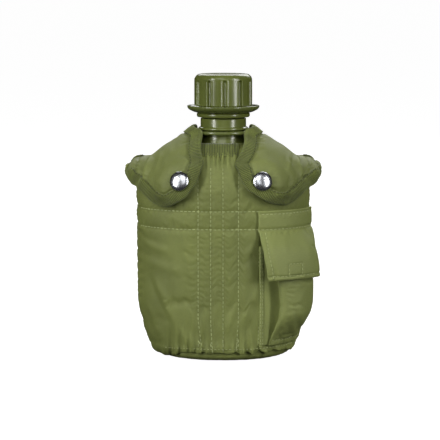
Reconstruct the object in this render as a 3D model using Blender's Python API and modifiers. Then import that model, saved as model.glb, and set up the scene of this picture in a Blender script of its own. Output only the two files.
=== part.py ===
"""A one-quart field canteen in its padded cover.

A kidney-shaped plastic bottle with a screw cap on a keeper strap stands in a
fabric cover: an outer front, back and bottom panel over a pile lining, two
shoulder flaps closed by snaps, a small side pocket with its own flap, and two
belt clips on the back. The front faces -Y and +X is the viewer's right.
Dimensions are in millimetres; MM turns them into the scene's metres.
"""

from math import acos, copysign, cos, exp, hypot, pi, radians, sin

import bmesh
import bpy
from mathutils import Vector

MM = 0.001
CENTRE_Y = -0.4              # moves the whole object so that its box is centred on Y

# The bottle: a kidney section, round bottom corners, sloping shoulders, a round neck.
HALF_WIDTH = 61.0
BASE_HALF_WIDTH = 50.0
FRONT_DEPTH = 37.0
BACK_DEPTH = 34.0
BOW = 9.0                    # how far the sides curve back
BACK_HOLLOW = 5.0            # how far the middle of the back curves in
FRONT_POWER = 2.8
BACK_POWER = 3.5
BASE_Z = 5.0
CORNER_RADIUS = 8.0
TAPER_TOP_Z = 42.0
SHOULDER_Z = 128.0
SHOULDER_RISE = 30.0
SHOULDER_POWER = 1.35
DEPTH_POWER = 0.9
NECK_ROOT_RADIUS = 17.0
WALL = 2.0
BASE_END = 0.655             # path coordinates where the base ends and the body starts
BODY_START = 0.685
HAIRLINE = 0.3
BODY_TOP_BORE = 15.6         # the body's mouth, under the narrower bore of the neck
AROUND = 32                  # points around the bottle and the neck

# The neck, from its root to its lip.
NECK_START_Z = 159.5
NECK_RADIUS = 16.5
NECK_BEAD = (18.75, 172.7, 174.2)     # radius, lower and upper height
COLLAR_RADIUS = 17.2
COLLAR_TOP_Z = 181.0
THREAD_CORE_RADIUS = 14.6
MOUTH_RADIUS = 12.5
LIP_Z = 207.8

# The screw thread, shared by the neck and the cap.
PITCH = 4.0
THREAD_TURNS = 2.5
THREAD_START_Z = 190.0
THREAD_STEPS = 24            # per turn
THREAD_ROOT_HALF = 1.1
THREAD_CREST_HALF = 0.5
NECK_THREAD_CREST = 15.7
CAP_THREAD_CREST = 15.0

# The cap.
CAP_RADIUS = 21.6
CAP_TOP_Z = 214.4
CAP_SKIRT_Z = 190.9
CAP_GROOVE_RADIUS = 18.6
CAP_BEAD_RADIUS = 20.0
CAP_BOTTOM_Z = 182.0
CAP_BORE_RADIUS = 16.1
CAP_CEILING_Z = 210.5
CAP_STEPS = 36
FLUTES = 11
FIRST_FLUTE = -86.8          # degrees
FLUTE_RADIUS = 1.9
FLUTE_CENTRE_RADIUS = 22.3
FLUTE_TOP_Z = 210.4
GASKET_RADIUS = 15.5
GASKET_Z = (208.2, 210.1)

# The keeper: a ring in the cap's groove, a ring on the neck, and the strap between.
CAP_RING_RIM = 26.8
CAP_RING_BORE = 19.0
NECK_RING_RADIUS = 22.0
NECK_RING_BORE = 16.9
STRAP_WIDTH = 9.0
STRAP_THICK = 1.8
STRAP_PATH = (
    (27.4, 189.1), (31.5, 188.9), (35.2, 185.2), (36.3, 179.5), (34.0, 173.8), (29.0, 171.2), (22.5, 170.8),
)

# The cover's layers, as distances off the bottle.
LINING_OFFSET = 0.5
LINING_THICK = 2.0
PANEL_OFFSET = 3.2
PANEL_THICK = 1.8
SEAM_GAP = 0.4
PANEL_START = 0.44           # path coordinates, see level()
PANEL_END = 2.84
LINING_START = 0.16
LINING_END = 2.74
BOTTOM_END = 0.38
HALF_AROUND = 16

# The neck tape on the front panel's top edge.
TAPE_OFFSET = 5.4
TAPE_THICK = 1.0
TAPE_START = 2.66
TAPE_END = 2.86
TAPE_ANGLES = (-110.0, -74.0)

# The shoulder flaps.
FLAP_OFFSET = 8.8            # outer face off the bottle
FLAP_THICK = 3.0
SNAP_SWELL = 3.2             # how far a flap stands further off over its snap
SNAP_SWELL_REACH = 17.0
FLAP_ACROSS = 9
FLAP_ALONG = 13
BINDING_LIFT = 0.9
BINDING_THICK = 0.6
BINDING_WIDTH = 8.4

# Snap fasteners.
SNAP_RADIUS = 7.25
SNAP_DOME = 2.6
SNAP_LIFT = 1.8              # gap between the flap and the dome
SOCKET_GAP = 0.8
SNAP_CLEARANCE = 0.4         # the stud stands this far short of its socket
SNAP_STEPS = 16
SNAPS = {"left": (-31.7, 137.0), "right": (28.1, 137.0)}

# The side pocket on the front.
POCKET_LEFT_X = 28.7
POCKET_RIGHT_ANGLE = -12.0
POCKET_BOTTOM_Z = 14.0
POCKET_TOP_Z = 88.0
POCKET_OFFSET = 6.6
POCKET_THICK = 1.2
POCKET_BULGE = 10.5
BAND_TOP_Z = 114.6
BAND_BOTTOM_Z = 101.2
BAND_LEFT_X = 26.4
BAND_RIGHT_ANGLE = -14.0
POCKET_FLAP_THICK = 1.5
POCKET_FLAP_TOP_Z = 100.4
POCKET_FLAP_BOTTOM_Z = 63.0
POCKET_FLAP_OFFSETS = ((6.2,), (14.8,), (18.4,), (19.4,))    # from its top edge down
PATCH_X = (48.4, 58.3)
PATCH_Z = (68.0, 76.6)
PATCH_THICK = 0.8

# The belt clips on the back.
CLIP_X = 28.0
CLIP_WIDTH = 16.0
CLIP_THICK = 1.6
CLIP_FRONT_Y = 42.2          # middle of the inner leg
CLIP_REAR_Y = 54.2
CLIP_BOTTOM_Z = 74.0
CLIP_ARCH_Z = 152.0
SLEEVE_Z = (76.0, 83.0)
SLEEVE_WALL = 1.0
SLEEVE_GAP = 0.35
WEBBING_Z = (102.0, 127.0)
WEBBING_STEPS = (-19.0, -16.0, -12.5, -9.5, 9.5, 12.5, 16.0, 19.0)
WEBBING_THICK = 1.4
WEBBING_GAP = 0.5

# Finishes: colour, roughness, metallic.
FINISHES = {
    "olive_plastic": ((0.105, 0.135, 0.040), 0.38, 0.0),
    "strap_plastic": ((0.090, 0.120, 0.036), 0.42, 0.0),
    "nylon": ((0.145, 0.175, 0.062), 0.75, 0.0),
    "binding": ((0.110, 0.140, 0.045), 0.85, 0.0),
    "pile": ((0.130, 0.140, 0.080), 0.95, 0.0),
    "hook_and_loop": ((0.100, 0.125, 0.045), 0.95, 0.0),
    "rubber": ((0.60, 0.58, 0.52), 0.60, 0.0),
    "nickel": ((0.62, 0.64, 0.67), 0.18, 1.0),
    "black_steel": ((0.025, 0.026, 0.026), 0.45, 0.8),
}


# ---------------------------------------------------------------- scene helpers

def clear_scene():
    for obj in list(bpy.data.objects):
        bpy.data.objects.remove(obj, do_unlink=True)


def collection(name):
    group = bpy.data.collections.new(name)
    bpy.context.scene.collection.children.link(group)
    return group


def finish(name):
    material = bpy.data.materials.get(name)
    if material is None:
        colour, roughness, metallic = FINISHES[name]
        material = bpy.data.materials.new(name)
        material.use_nodes = True
        shader = material.node_tree.nodes["Principled BSDF"]
        shader.inputs["Base Color"].default_value = (*colour, 1.0)
        shader.inputs["Roughness"].default_value = roughness
        shader.inputs["Metallic"].default_value = metallic
        material.diffuse_color = (*colour, 1.0)
    return material


def mesh_object(name, points, faces, finish_name):
    """A mesh from points in millimetres, in the canteen's collection."""
    mesh = bpy.data.meshes.new(name)
    mesh.from_pydata([tuple(Vector(p) * MM) for p in points], [], faces)
    mesh.shade_smooth()
    mesh.set_sharp_from_angle(angle=radians(40))
    obj = bpy.data.objects.new(name, mesh)
    obj.data.materials.append(finish(finish_name))
    CANTEEN.objects.link(obj)
    return obj


def solidify(obj, thickness, outward):
    modifier = obj.modifiers.new("thickness", "SOLIDIFY")
    modifier.thickness = thickness * MM
    modifier.offset = 1.0 if outward else -1.0
    modifier.use_even_offset = True
    return obj


def grid_faces(rows, columns, closed=False):
    """Quads of a grid whose columns run anticlockwise and rows upwards, facing out."""
    faces = []
    for i in range(rows - 1):
        for j in range(columns if closed else columns - 1):
            k = (j + 1) % columns
            low, high = i * columns, (i + 1) * columns
            faces.append((low + j, low + k, high + k, high + j))
    return faces


def sheet(name, rows, thickness, finish_name, outward=True, flip=False, closed=False):
    """An open grid surface, given a thickness to one side."""
    points = [p for row in rows for p in row]
    faces = grid_faces(len(rows), len(rows[0]), closed)
    if flip:
        faces = [face[::-1] for face in faces]
    return solidify(mesh_object(name, points, faces, finish_name), thickness, outward)


def turned(name, profile, around, finish_name, closed=False):
    """A profile of (radius, height) turned about Z, running down its outer side."""
    count = len(profile)
    mesh = bpy.data.meshes.new(name)
    edges = [(i, i + 1) for i in range(count - 1)]
    if closed:
        edges.append((count - 1, 0))
    mesh.from_pydata([(r * MM, 0.0, z * MM) for r, z in profile], edges, [])
    obj = bpy.data.objects.new(name, mesh)
    obj.data.materials.append(finish(finish_name))
    CANTEEN.objects.link(obj)
    screw = obj.modifiers.new("turn", "SCREW")
    screw.steps = around
    screw.render_steps = around
    screw.use_merge_vertices = True
    screw.merge_threshold = 0.00001
    screw.use_smooth_shade = True
    return obj


def make_cutter(obj):
    CANTEEN.objects.unlink(obj)
    CUTTERS.objects.link(obj)
    obj.hide_render = True
    obj.display_type = "WIRE"
    return obj


def combine(obj, other, operation):
    boolean = obj.modifiers.new(operation.lower(), "BOOLEAN")
    boolean.operation = operation
    boolean.object = other
    boolean.solver = "EXACT"


def catmull(points, t):
    """A smooth curve through points (sequences of numbers), t from 0 to 1."""
    span = t * (len(points) - 1)
    i = min(int(span), len(points) - 2)
    f = span - i
    p0, p1, p2, p3 = (points[max(0, min(len(points) - 1, k))] for k in (i - 1, i, i + 1, i + 2))
    return tuple(
        0.5 * (2 * b + (c - a) * f + (2 * a - 5 * b + 4 * c - d) * f * f + (3 * b - a - 3 * c + d) * f ** 3)
        for a, b, c, d in zip(p0, p1, p2, p3)
    )


def smoothstep(x):
    x = max(0.0, min(1.0, x))
    return x * x * (3 - 2 * x)


def steps(start, stop, count):
    return [start + (stop - start) * i / (count - 1) for i in range(count)]


# ---------------------------------------------------------------- the bottle's form

def level(path, offset):
    """The outline at a path coordinate, offset off the bottle.

    The path runs up the outside: 0 to 1 round the bottom corner, 1 to 2 up the wall,
    2 to 3 over the shoulder to the neck. Returns the height, half width, front depth,
    back depth and shape, which is 1 for the kidney and 0 for the round neck.
    """
    corner_z = BASE_Z + CORNER_RADIUS
    if path <= 1:
        turn = path * pi / 2
        inset = CORNER_RADIUS * (1 - sin(turn))
        z = BASE_Z + CORNER_RADIUS * (1 - cos(turn))
        half, front, back = BASE_HALF_WIDTH - inset, FRONT_DEPTH - inset, BACK_DEPTH - inset
        side, up, shape = sin(turn), -cos(turn), 1.0
    elif path <= 2:
        z = corner_z + (SHOULDER_Z - corner_z) * (path - 1)
        taper = max(0.0, (TAPER_TOP_Z - z) / (TAPER_TOP_Z - corner_z))
        half, front, back = HALF_WIDTH - (HALF_WIDTH - BASE_HALF_WIDTH) * taper, FRONT_DEPTH, BACK_DEPTH
        side, up, shape = 1.0, 0.0, 1.0
    else:
        turn = (path - 2) * pi / 2
        across, along = max(0.0, cos(turn)), sin(turn)
        half = NECK_ROOT_RADIUS + (HALF_WIDTH - NECK_ROOT_RADIUS) * across
        front = NECK_ROOT_RADIUS + (FRONT_DEPTH - NECK_ROOT_RADIUS) * across ** DEPTH_POWER
        back = NECK_ROOT_RADIUS + (BACK_DEPTH - NECK_ROOT_RADIUS) * across ** DEPTH_POWER
        z = SHOULDER_Z + SHOULDER_RISE * along ** SHOULDER_POWER
        rise = SHOULDER_RISE * SHOULDER_POWER * along ** (SHOULDER_POWER - 1) * across
        run = (HALF_WIDTH - NECK_ROOT_RADIUS) * along
        side, up, shape = rise / hypot(rise, run), run / hypot(rise, run), 1 - along
    return z + offset * up, half + offset * side, front + offset * side, back + offset * side, shape


def spread(power):
    """The power that spaces points evenly round an outline of this power."""
    return 2 + 0.45 * (power - 2)


def hug(path, angle, offset):
    """A point that lies offset off the bottle; angle 0 is +X and -90 degrees the front."""
    z, half, front, back, shape = level(path, offset)
    c, s = cos(angle), sin(angle)
    power = 2 + ((BACK_POWER if s > 0 else FRONT_POWER) - 2) * shape
    u = copysign(abs(c) ** (2 / spread(power)), c)
    y = copysign((back if s > 0 else front) * (1 - min(1.0, abs(u) ** power)) ** (1 / power), s)
    y += BOW * shape * u * u
    if s > 0:
        y -= BACK_HOLLOW * shape * (1 - u * u) ** 2
    return Vector((half * u, y + CENTRE_Y, z))


def locate(x, z, offset):
    """Path and angle of the point at x and z on the front, offset off the bottle."""
    low, high = 1.0, 2.98
    for _ in range(40):
        path = (low + high) / 2
        if level(path, offset)[0] < z:
            low = path
        else:
            high = path
    _, half, _, _, shape = level(path, offset)
    power = 2 + (FRONT_POWER - 2) * shape
    angle = -acos(min(1.0, abs(x) / half) ** (spread(power) / 2))
    return path, (angle if x >= 0 else -pi - angle)


def outward(path, angle, offset):
    """The direction that faces out of the bottle at a point."""
    step = 0.01
    along = hug(path + step, angle, offset) - hug(path - step, angle, offset)
    around = hug(path, angle + step, offset) - hug(path, angle - step, offset)
    return around.cross(along).normalized()


# ---------------------------------------------------------------- bottle and cap

def ring(radius, z):
    return [Vector((radius * cos(2 * pi * j / AROUND), radius * sin(2 * pi * j / AROUND) + CENTRE_Y, z))
            for j in range(AROUND)]


def around_bottle(path, offset):
    return [hug(path, 2 * pi * j / AROUND, offset) for j in range(AROUND)]


def thread(name, root, crest, start_z):
    """A helical ridge whose ends run out to its root."""
    count = int(THREAD_TURNS * THREAD_STEPS) + 1
    points = []
    for i in range(count):
        turn = 2 * pi * i / THREAD_STEPS
        z = start_z + PITCH * i / THREAD_STEPS
        fade = min(1.0, min(i, count - 1 - i) / 4 + 0.05)
        tip = root + (crest - root) * fade
        for radius, half in ((root, -THREAD_ROOT_HALF), (tip, -THREAD_CREST_HALF),
                             (tip, THREAD_CREST_HALF), (root, THREAD_ROOT_HALF)):
            points.append((radius * cos(turn), radius * sin(turn) + CENTRE_Y, z + half))
    faces = grid_faces(count, 4, closed=True)
    faces.append((3, 2, 1, 0))
    faces.append(tuple(4 * (count - 1) + k for k in range(4)))
    if crest > root:
        faces = [face[::-1] for face in faces]
    return make_cutter(mesh_object(name, points, faces, "olive_plastic"))


def stacked(name, rings, looped):
    """A solid of stacked rings: closed by its end faces, or looped from the last ring to the first."""
    points = [p for one in rings for p in one]
    faces = grid_faces(len(rings), AROUND, closed=True)
    last = (len(rings) - 1) * AROUND
    if looped:
        faces += [(last + j, last + (j + 1) % AROUND, (j + 1) % AROUND, j) for j in range(AROUND)]
    else:
        faces.append(tuple(reversed(range(AROUND))))
        faces.append(tuple(range(last, last + AROUND)))
    return mesh_object(name, points, faces, "olive_plastic")


def make_bottle():
    """The bottle as three solids with a hairline between them: its base, its body and its neck."""
    outer = [around_bottle(path, 0.0) for path in (0.0, 0.33, BASE_END)]
    inner = [around_bottle(path, -WALL) for path in (BASE_END, 0.33, 0.0)]
    stacked("bottle_base", outer + inner, looped=False)
    rings = [around_bottle(path, 0.0) for path in (BODY_START, 1.0, 1.25, 1.6, 2.0, 2.2, 2.4, 2.6, 2.8, 3.0)]
    rings += [ring(radius, NECK_START_Z - HAIRLINE) for radius in (NECK_RADIUS, BODY_TOP_BORE)]
    rings += [around_bottle(path, -WALL) for path in (3.0, 2.75, 2.5, 2.25, 2.0, 1.6, 1.25, 1.0, BODY_START)]
    stacked("bottle_shell", rings, looped=True)
    bead_radius, bead_low, bead_high = NECK_BEAD
    neck = [
        (NECK_RADIUS, NECK_START_Z),
        (NECK_RADIUS, bead_low - 0.4),
        (bead_radius, bead_low),
        (bead_radius, bead_high),
        (COLLAR_RADIUS, bead_high + 0.6),
        (COLLAR_RADIUS, COLLAR_TOP_Z),
        (THREAD_CORE_RADIUS, COLLAR_TOP_Z + 0.5),
        (THREAD_CORE_RADIUS, LIP_Z - 0.5),
        (THREAD_CORE_RADIUS - 0.5, LIP_Z),
        (MOUTH_RADIUS, LIP_Z),
        (MOUTH_RADIUS, NECK_START_Z),
    ]
    neck = stacked("bottle_neck", [ring(radius, z) for radius, z in neck], looped=True)
    ridge = thread("neck_thread_form", THREAD_CORE_RADIUS - 0.3, NECK_THREAD_CREST, THREAD_START_Z)
    combine(neck, ridge, "UNION")


def flute_cutter():
    """Upright round-topped bars, as one curve turned into a mesh."""
    curve = bpy.data.curves.new("flute_form", "CURVE")
    curve.dimensions = "3D"
    curve.bevel_depth = FLUTE_RADIUS * MM
    curve.bevel_resolution = 2
    curve.use_fill_caps = True
    heights = (
        (CAP_SKIRT_Z - 3.0, 1.0), (FLUTE_TOP_Z - 1.6, 1.0), (FLUTE_TOP_Z - 0.5, 0.75), (FLUTE_TOP_Z, 0.3),
    )
    for k in range(FLUTES):
        angle = radians(FIRST_FLUTE) + 2 * pi * k / FLUTES
        spline = curve.splines.new("POLY")
        spline.points.add(len(heights) - 1)
        for point, (z, radius) in zip(spline.points, heights):
            point.co = (FLUTE_CENTRE_RADIUS * cos(angle) * MM,
                        (FLUTE_CENTRE_RADIUS * sin(angle) + CENTRE_Y) * MM, z * MM, 1.0)
            point.radius = radius
    obj = bpy.data.objects.new("flute_curve", curve)
    CANTEEN.objects.link(obj)
    mesh = bpy.data.meshes.new_from_object(obj.evaluated_get(bpy.context.evaluated_depsgraph_get()))
    form = bmesh.new()
    form.from_mesh(mesh)
    bmesh.ops.remove_doubles(form, verts=form.verts, dist=0.00001)
    bmesh.ops.recalc_face_normals(form, faces=form.faces)
    form.to_mesh(mesh)
    form.free()
    cutter = bpy.data.objects.new("flute_form", mesh)
    CANTEEN.objects.link(cutter)
    bpy.data.objects.remove(obj, do_unlink=True)
    return make_cutter(cutter)


def make_cap():
    profile = [
        (0.0, CAP_TOP_Z), (17.8, CAP_TOP_Z), (19.7, CAP_TOP_Z - 0.6), (21.1, CAP_TOP_Z - 2.0),
        (CAP_RADIUS, CAP_TOP_Z - 3.8), (CAP_RADIUS, CAP_SKIRT_Z), (CAP_RADIUS - 0.8, CAP_SKIRT_Z - 0.4),
        (CAP_GROOVE_RADIUS, CAP_SKIRT_Z - 0.4), (CAP_GROOVE_RADIUS, CAP_BOTTOM_Z + 3.5),
        (CAP_BEAD_RADIUS, CAP_BOTTOM_Z + 2.9), (CAP_BEAD_RADIUS, CAP_BOTTOM_Z + 0.7),
        (CAP_BEAD_RADIUS - 0.7, CAP_BOTTOM_Z), (CAP_BORE_RADIUS, CAP_BOTTOM_Z),
        (CAP_BORE_RADIUS, CAP_CEILING_Z), (0.0, CAP_CEILING_Z),
    ]
    cap = turned("screw_cap", profile, CAP_STEPS, "olive_plastic")
    cap.location = (0.0, CENTRE_Y * MM, 0.0)
    combine(cap, flute_cutter(), "DIFFERENCE")
    ridge = thread("cap_thread_form", CAP_BORE_RADIUS + 0.3, CAP_THREAD_CREST, THREAD_START_Z + PITCH / 2)
    combine(cap, ridge, "UNION")
    low, high = GASKET_Z
    disc = [(0.0, high), (GASKET_RADIUS, high), (GASKET_RADIUS, low), (0.0, low)]
    gasket = turned("cap_gasket", disc, AROUND, "rubber")
    gasket.location = (0.0, CENTRE_Y * MM, 0.0)


def make_keeper():
    rim, bore = CAP_RING_RIM, CAP_RING_BORE
    cap_ring = [
        (rim, 189.9), (rim - 0.1, 188.9), (rim - 0.9, 187.7), (23.0, 186.3), (21.2, 185.7),
        (bore, 185.7), (bore, 187.5), (20.8, 187.5), (23.2, 188.2), (25.4, 189.9),
    ]
    rim, bore = NECK_RING_RADIUS, NECK_RING_BORE
    neck_ring = [
        (rim, 171.6), (rim, 170.0), (rim - 0.7, 169.4), (bore, 169.4), (bore, 171.9), (rim - 0.7, 171.9),
    ]
    for name, profile in (("keeper_cap_ring", cap_ring), ("keeper_neck_ring", neck_ring)):
        obj = turned(name, profile, AROUND, "strap_plastic", closed=True)
        obj.location = (0.0, CENTRE_Y * MM, 0.0)
    rows = []
    for t in steps(0.0, 1.0, 16):
        y, z = catmull(STRAP_PATH, t)
        rows.append([Vector((x, y + CENTRE_Y, z)) for x in (-STRAP_WIDTH / 2, STRAP_WIDTH / 2)])
    sheet("keeper_strap", rows, STRAP_THICK, "strap_plastic", outward=False)


# ---------------------------------------------------------------- the cover

def shell(name, paths, back, offset, thickness, finish_name):
    """Half of a fabric layer: the front or the back, between two path coordinates."""
    start = 0.0 if back else pi
    shift = Vector((0.0, (SEAM_GAP if back else -SEAM_GAP) / 2, 0.0))
    rows = [[hug(path, start + pi * j / HALF_AROUND, offset) + shift for j in range(HALF_AROUND + 1)]
            for path in paths]
    return sheet(name, rows, thickness, finish_name)


def dish(name, path_end, offset, thickness, finish_name):
    """A bottom layer: the flat under the bottle with its rim turned up."""
    rings = [around_bottle(path, offset) for path in (0.0, path_end / 2, path_end)]
    points = [p for one in rings for p in one]
    faces = grid_faces(len(rings), AROUND, closed=True)
    faces.append(tuple(reversed(range(AROUND))))
    return solidify(mesh_object(name, points, faces, finish_name), thickness, True)


def make_cover():
    walls = [0.66, 1.0, 1.25, 1.6, 2.0, 2.2, 2.4, 2.6]
    for name, back in (("front", False), ("back", True)):
        paths = [PANEL_START, *walls, LINING_END, PANEL_END]
        shell("cover_" + name + "_panel", paths, back, PANEL_OFFSET, PANEL_THICK, "nylon")
        paths = [LINING_START, PANEL_START, *walls, LINING_END]
        shell("lining_" + name, paths, back, LINING_OFFSET, LINING_THICK, "pile")
    dish("cover_bottom_panel", BOTTOM_END, PANEL_OFFSET, PANEL_THICK, "nylon")
    dish("lining_bottom", LINING_START / 2, LINING_OFFSET, LINING_THICK, "pile")
    low, high = TAPE_ANGLES
    rows = [[hug(path, radians(angle), TAPE_OFFSET) for angle in steps(low, high, 9)]
            for path in steps(TAPE_START, TAPE_END, 3)]
    sheet("front_neck_tape", rows, TAPE_THICK, "binding")


# ---------------------------------------------------------------- shoulder flaps

def on_front(x, z, offset):
    path, angle = locate(x, z, offset)
    return path, angle, offset


def flap_edges(side):
    """The neck, lower and outer edges of a flap, as (path, angle, offset) on the right-hand side."""
    base = FLAP_OFFSET
    lower = {
        "right": [(14.1, 136.1), (19.2, 130.1), (29.4, 123.9), (39.6, 120.1), (48.7, 120.2), (58.9, 125.7)],
        "left": [(20.0, 135.1), (25.6, 128.0), (33.8, 121.8), (40.8, 118.4), (48.0, 119.1), (57.0, 123.4)],
    }[side]
    front = {"right": [(10.6, 153.3), (11.6, 143.9)], "left": [(15.9, 154.4), (17.0, 143.9)]}[side]
    corner = on_front(67.1, 131.5, base + 2.2)
    neck = [
        (2.83, radians(58), base + 5.5), (2.92, radians(25), base + 5.0), (2.92, radians(-15), base + 4.0),
        (2.88, radians(-52), base + 2.0),
    ]
    neck += [on_front(x, z, base) for x, z in front]
    neck.append(on_front(*lower[0], base))
    bottom = [on_front(x, z, base) for x, z in lower[:-1]]
    bottom += [on_front(*lower[-1], base + 1.2), corner]
    outer = [
        (2.24, radians(34), base + 2.0), (2.26, radians(15), base + 6.0), (2.23, radians(1), base + 7.5),
        (2.12, radians(-8), base + 5.5), (2.06, radians(-16), base + 3.5), corner,
    ]
    return neck, bottom, outer


class Flap:
    """A flap's outer face: s runs from the neck outwards, t from the hinge to the lower edge."""

    def __init__(self, side):
        self.sign = 1 if side == "right" else -1
        self.neck, self.bottom, self.outer = flap_edges(side)
        x, z = SNAPS[side]
        self.snap = hug(*locate(abs(x), z, FLAP_OFFSET), FLAP_OFFSET)
        self.hinge_ends = [hug(*self.neck[0]), hug(*self.outer[0])]

    def place(self, s, t):
        """Path, angle and offset: a Coons patch between the four edges."""
        left, right = catmull(self.neck, t), catmull(self.outer, t)
        low, start, end = catmull(self.bottom, s), self.neck[0], self.outer[0]
        corners = (self.neck[0], self.outer[0], self.bottom[0], self.bottom[-1])
        result = []
        for k in range(3):
            hinge = start[k] + (end[k] - start[k]) * s
            ruled = (1 - s) * left[k] + s * right[k] + (1 - t) * hinge + t * low[k]
            c = [corner[k] for corner in corners]
            upper = (1 - s) * c[0] + s * c[1]
            below = (1 - s) * c[2] + s * c[3]
            result.append(ruled - (1 - t) * upper - t * below)
        return result

    def point(self, s, t, lift=0.0):
        path, angle, offset = self.place(s, t)
        offset = max(offset, FLAP_OFFSET)
        flat = hug(path, angle, offset)
        offset += SNAP_SWELL * exp(-(((flat - self.snap).length / SNAP_SWELL_REACH) ** 4)) + lift
        p = hug(path, angle, offset)
        start, end = self.hinge_ends
        p += (1 - t) ** 6 * (start.lerp(end, s) - hug(*self.place(s, 0.0)))
        return Vector((self.sign * p.x, p.y, p.z))


def free_edge(count):
    """Places (s, t) along a flap's free edge, from the hinge by the neck round to the hinge."""
    third = count // 3
    places = [(0.0, t) for t in steps(0.0, 1.0, third + 1)]
    places += [(s, 1.0) for s in steps(0.0, 1.0, third + 1)[1:]]
    places += [(1.0, t) for t in steps(1.0, 0.0, third + 1)[1:]]
    return places


def make_flap(side):
    flap = Flap(side)
    rows = [[flap.point(s, t) for s in steps(0.0, 1.0, FLAP_ACROSS)] for t in steps(1.0, 0.0, FLAP_ALONG)]
    body = sheet(side + "_flap", rows, FLAP_THICK, "nylon", outward=False, flip=(side == "left"))
    body.modifiers["thickness"].use_even_offset = False
    inward_s, inward_t = BINDING_WIDTH / 62.0, BINDING_WIDTH / 100.0
    ribbon = []
    for s, t in free_edge(30):
        step_s = -2 * inward_s * (s - 0.5)
        step_t = -inward_t * t
        ribbon.append([flap.point(s + step_s * k, t + step_t * k, BINDING_LIFT) for k in (0, 0.5, 1)])
    sheet(side + "_flap_binding", ribbon, BINDING_THICK, "binding", outward=True, flip=(side == "right"))
    make_snap(side, body)


def make_snap(side, body):
    """A domed cap riveted through the flap to its socket, over a stud on the front panel."""
    x, z = SNAPS[side]
    offset = FLAP_OFFSET + SNAP_SWELL
    path, angle = locate(x, z, offset)
    base = hug(path, angle, offset + SNAP_LIFT)
    turn = Vector((0.0, 0.0, 1.0)).rotation_difference(outward(path, angle, offset))
    socket_top = -(SNAP_LIFT + FLAP_THICK + SOCKET_GAP)
    cap = [
        (0.0, SNAP_DOME), (3.6, 2.3), (5.9, 1.4), (7.0, 0.6), (SNAP_RADIUS, 0.25), (SNAP_RADIUS - 0.3, 0.0),
        (1.6, 0.0), (1.6, socket_top - 0.3), (0.0, socket_top - 0.3),
    ]
    socket = [
        (5.5, socket_top), (5.5, socket_top - 1.2), (3.2, socket_top - 1.2), (3.2, socket_top - 0.6),
        (2.0, socket_top - 0.6), (2.0, socket_top),
    ]
    stud_base = PANEL_OFFSET + PANEL_THICK + 0.5 - (offset + SNAP_LIFT)
    stud_top = socket_top - 1.2 - SNAP_CLEARANCE
    stud = [
        (0.0, stud_top), (2.4, stud_top), (2.7, stud_top - 0.3), (2.5, stud_base + 0.6),
        (4.8, stud_base + 0.6), (4.8, stud_base), (0.0, stud_base),
    ]
    hole = [(0.0, 1.5), (2.2, 1.5), (2.2, socket_top - 2.0), (0.0, socket_top - 2.0)]
    for part, profile, closed in (("snap_cap", cap, False), ("snap_socket", socket, True),
                                  ("snap_stud", stud, False), ("snap_hole_form", hole, False)):
        obj = turned(side + "_" + part, profile, SNAP_STEPS, "nickel", closed)
        obj.location = base * MM
        obj.rotation_mode = "QUATERNION"
        obj.rotation_quaternion = turn
    combine(body, make_cutter(obj), "DIFFERENCE")


# ---------------------------------------------------------------- the pocket

def height_path(z):
    corner_z = BASE_Z + CORNER_RADIUS
    return 1 + (z - corner_z) / (SHOULDER_Z - corner_z)


def strip_rows(heights, left_x, right_angle, offset_at, columns):
    """Rows of a patch on the front right, from left_x(z) round to right_angle(z)."""
    rows = []
    for z in heights:
        left = locate(left_x(z), z, offset_at(0.0, z))[1]
        right = radians(right_angle(z))
        rows.append([hug(height_path(z), left + (right - left) * u, offset_at(u, z))
                     for u in steps(0.0, 1.0, columns)])
    return rows


def pocket_offset(u, z):
    """The pocket's outer face: flat along its seams, standing off in the middle."""
    v = (z - POCKET_BOTTOM_Z) / (POCKET_TOP_Z - POCKET_BOTTOM_Z)
    across = smoothstep(u / 0.28) * (1 - smoothstep((u - 0.7) / 0.3))
    along = smoothstep(v / 0.35) * (1 - 0.3 * smoothstep((v - 0.6) / 0.4))
    return POCKET_OFFSET + POCKET_BULGE * across * along


def pocket_flap_offset(u, z):
    """The pocket flap's inner face, which swings clear of the pocket's mouth."""
    t = (POCKET_FLAP_TOP_Z - z) / (POCKET_FLAP_TOP_Z - POCKET_FLAP_BOTTOM_Z)
    return catmull(POCKET_FLAP_OFFSETS, t)[0]


def pocket_flap_left(z):
    t = (POCKET_FLAP_TOP_Z - z) / (POCKET_FLAP_TOP_Z - POCKET_FLAP_BOTTOM_Z)
    return BAND_LEFT_X + 8.0 * t ** 0.8


def pocket_flap_right(z):
    t = (POCKET_FLAP_TOP_Z - z) / (POCKET_FLAP_TOP_Z - POCKET_FLAP_BOTTOM_Z)
    return BAND_RIGHT_ANGLE - 14.0 * smoothstep(t / 0.4)


def patch(name, offset_at, lift):
    """A square of hook or loop tape on a surface, lift off it."""
    rows = []
    for z in steps(*PATCH_Z, 3):
        row = []
        for x in steps(*PATCH_X, 4):
            angle = locate(x, z, 15.0)[1]
            left = locate(POCKET_LEFT_X, z, POCKET_OFFSET)[1]
            u = (angle - left) / (radians(POCKET_RIGHT_ANGLE) - left)
            row.append(hug(height_path(z), angle, offset_at(u, z) + lift))
        rows.append(row)
    sheet(name, rows, PATCH_THICK, "hook_and_loop")


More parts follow.
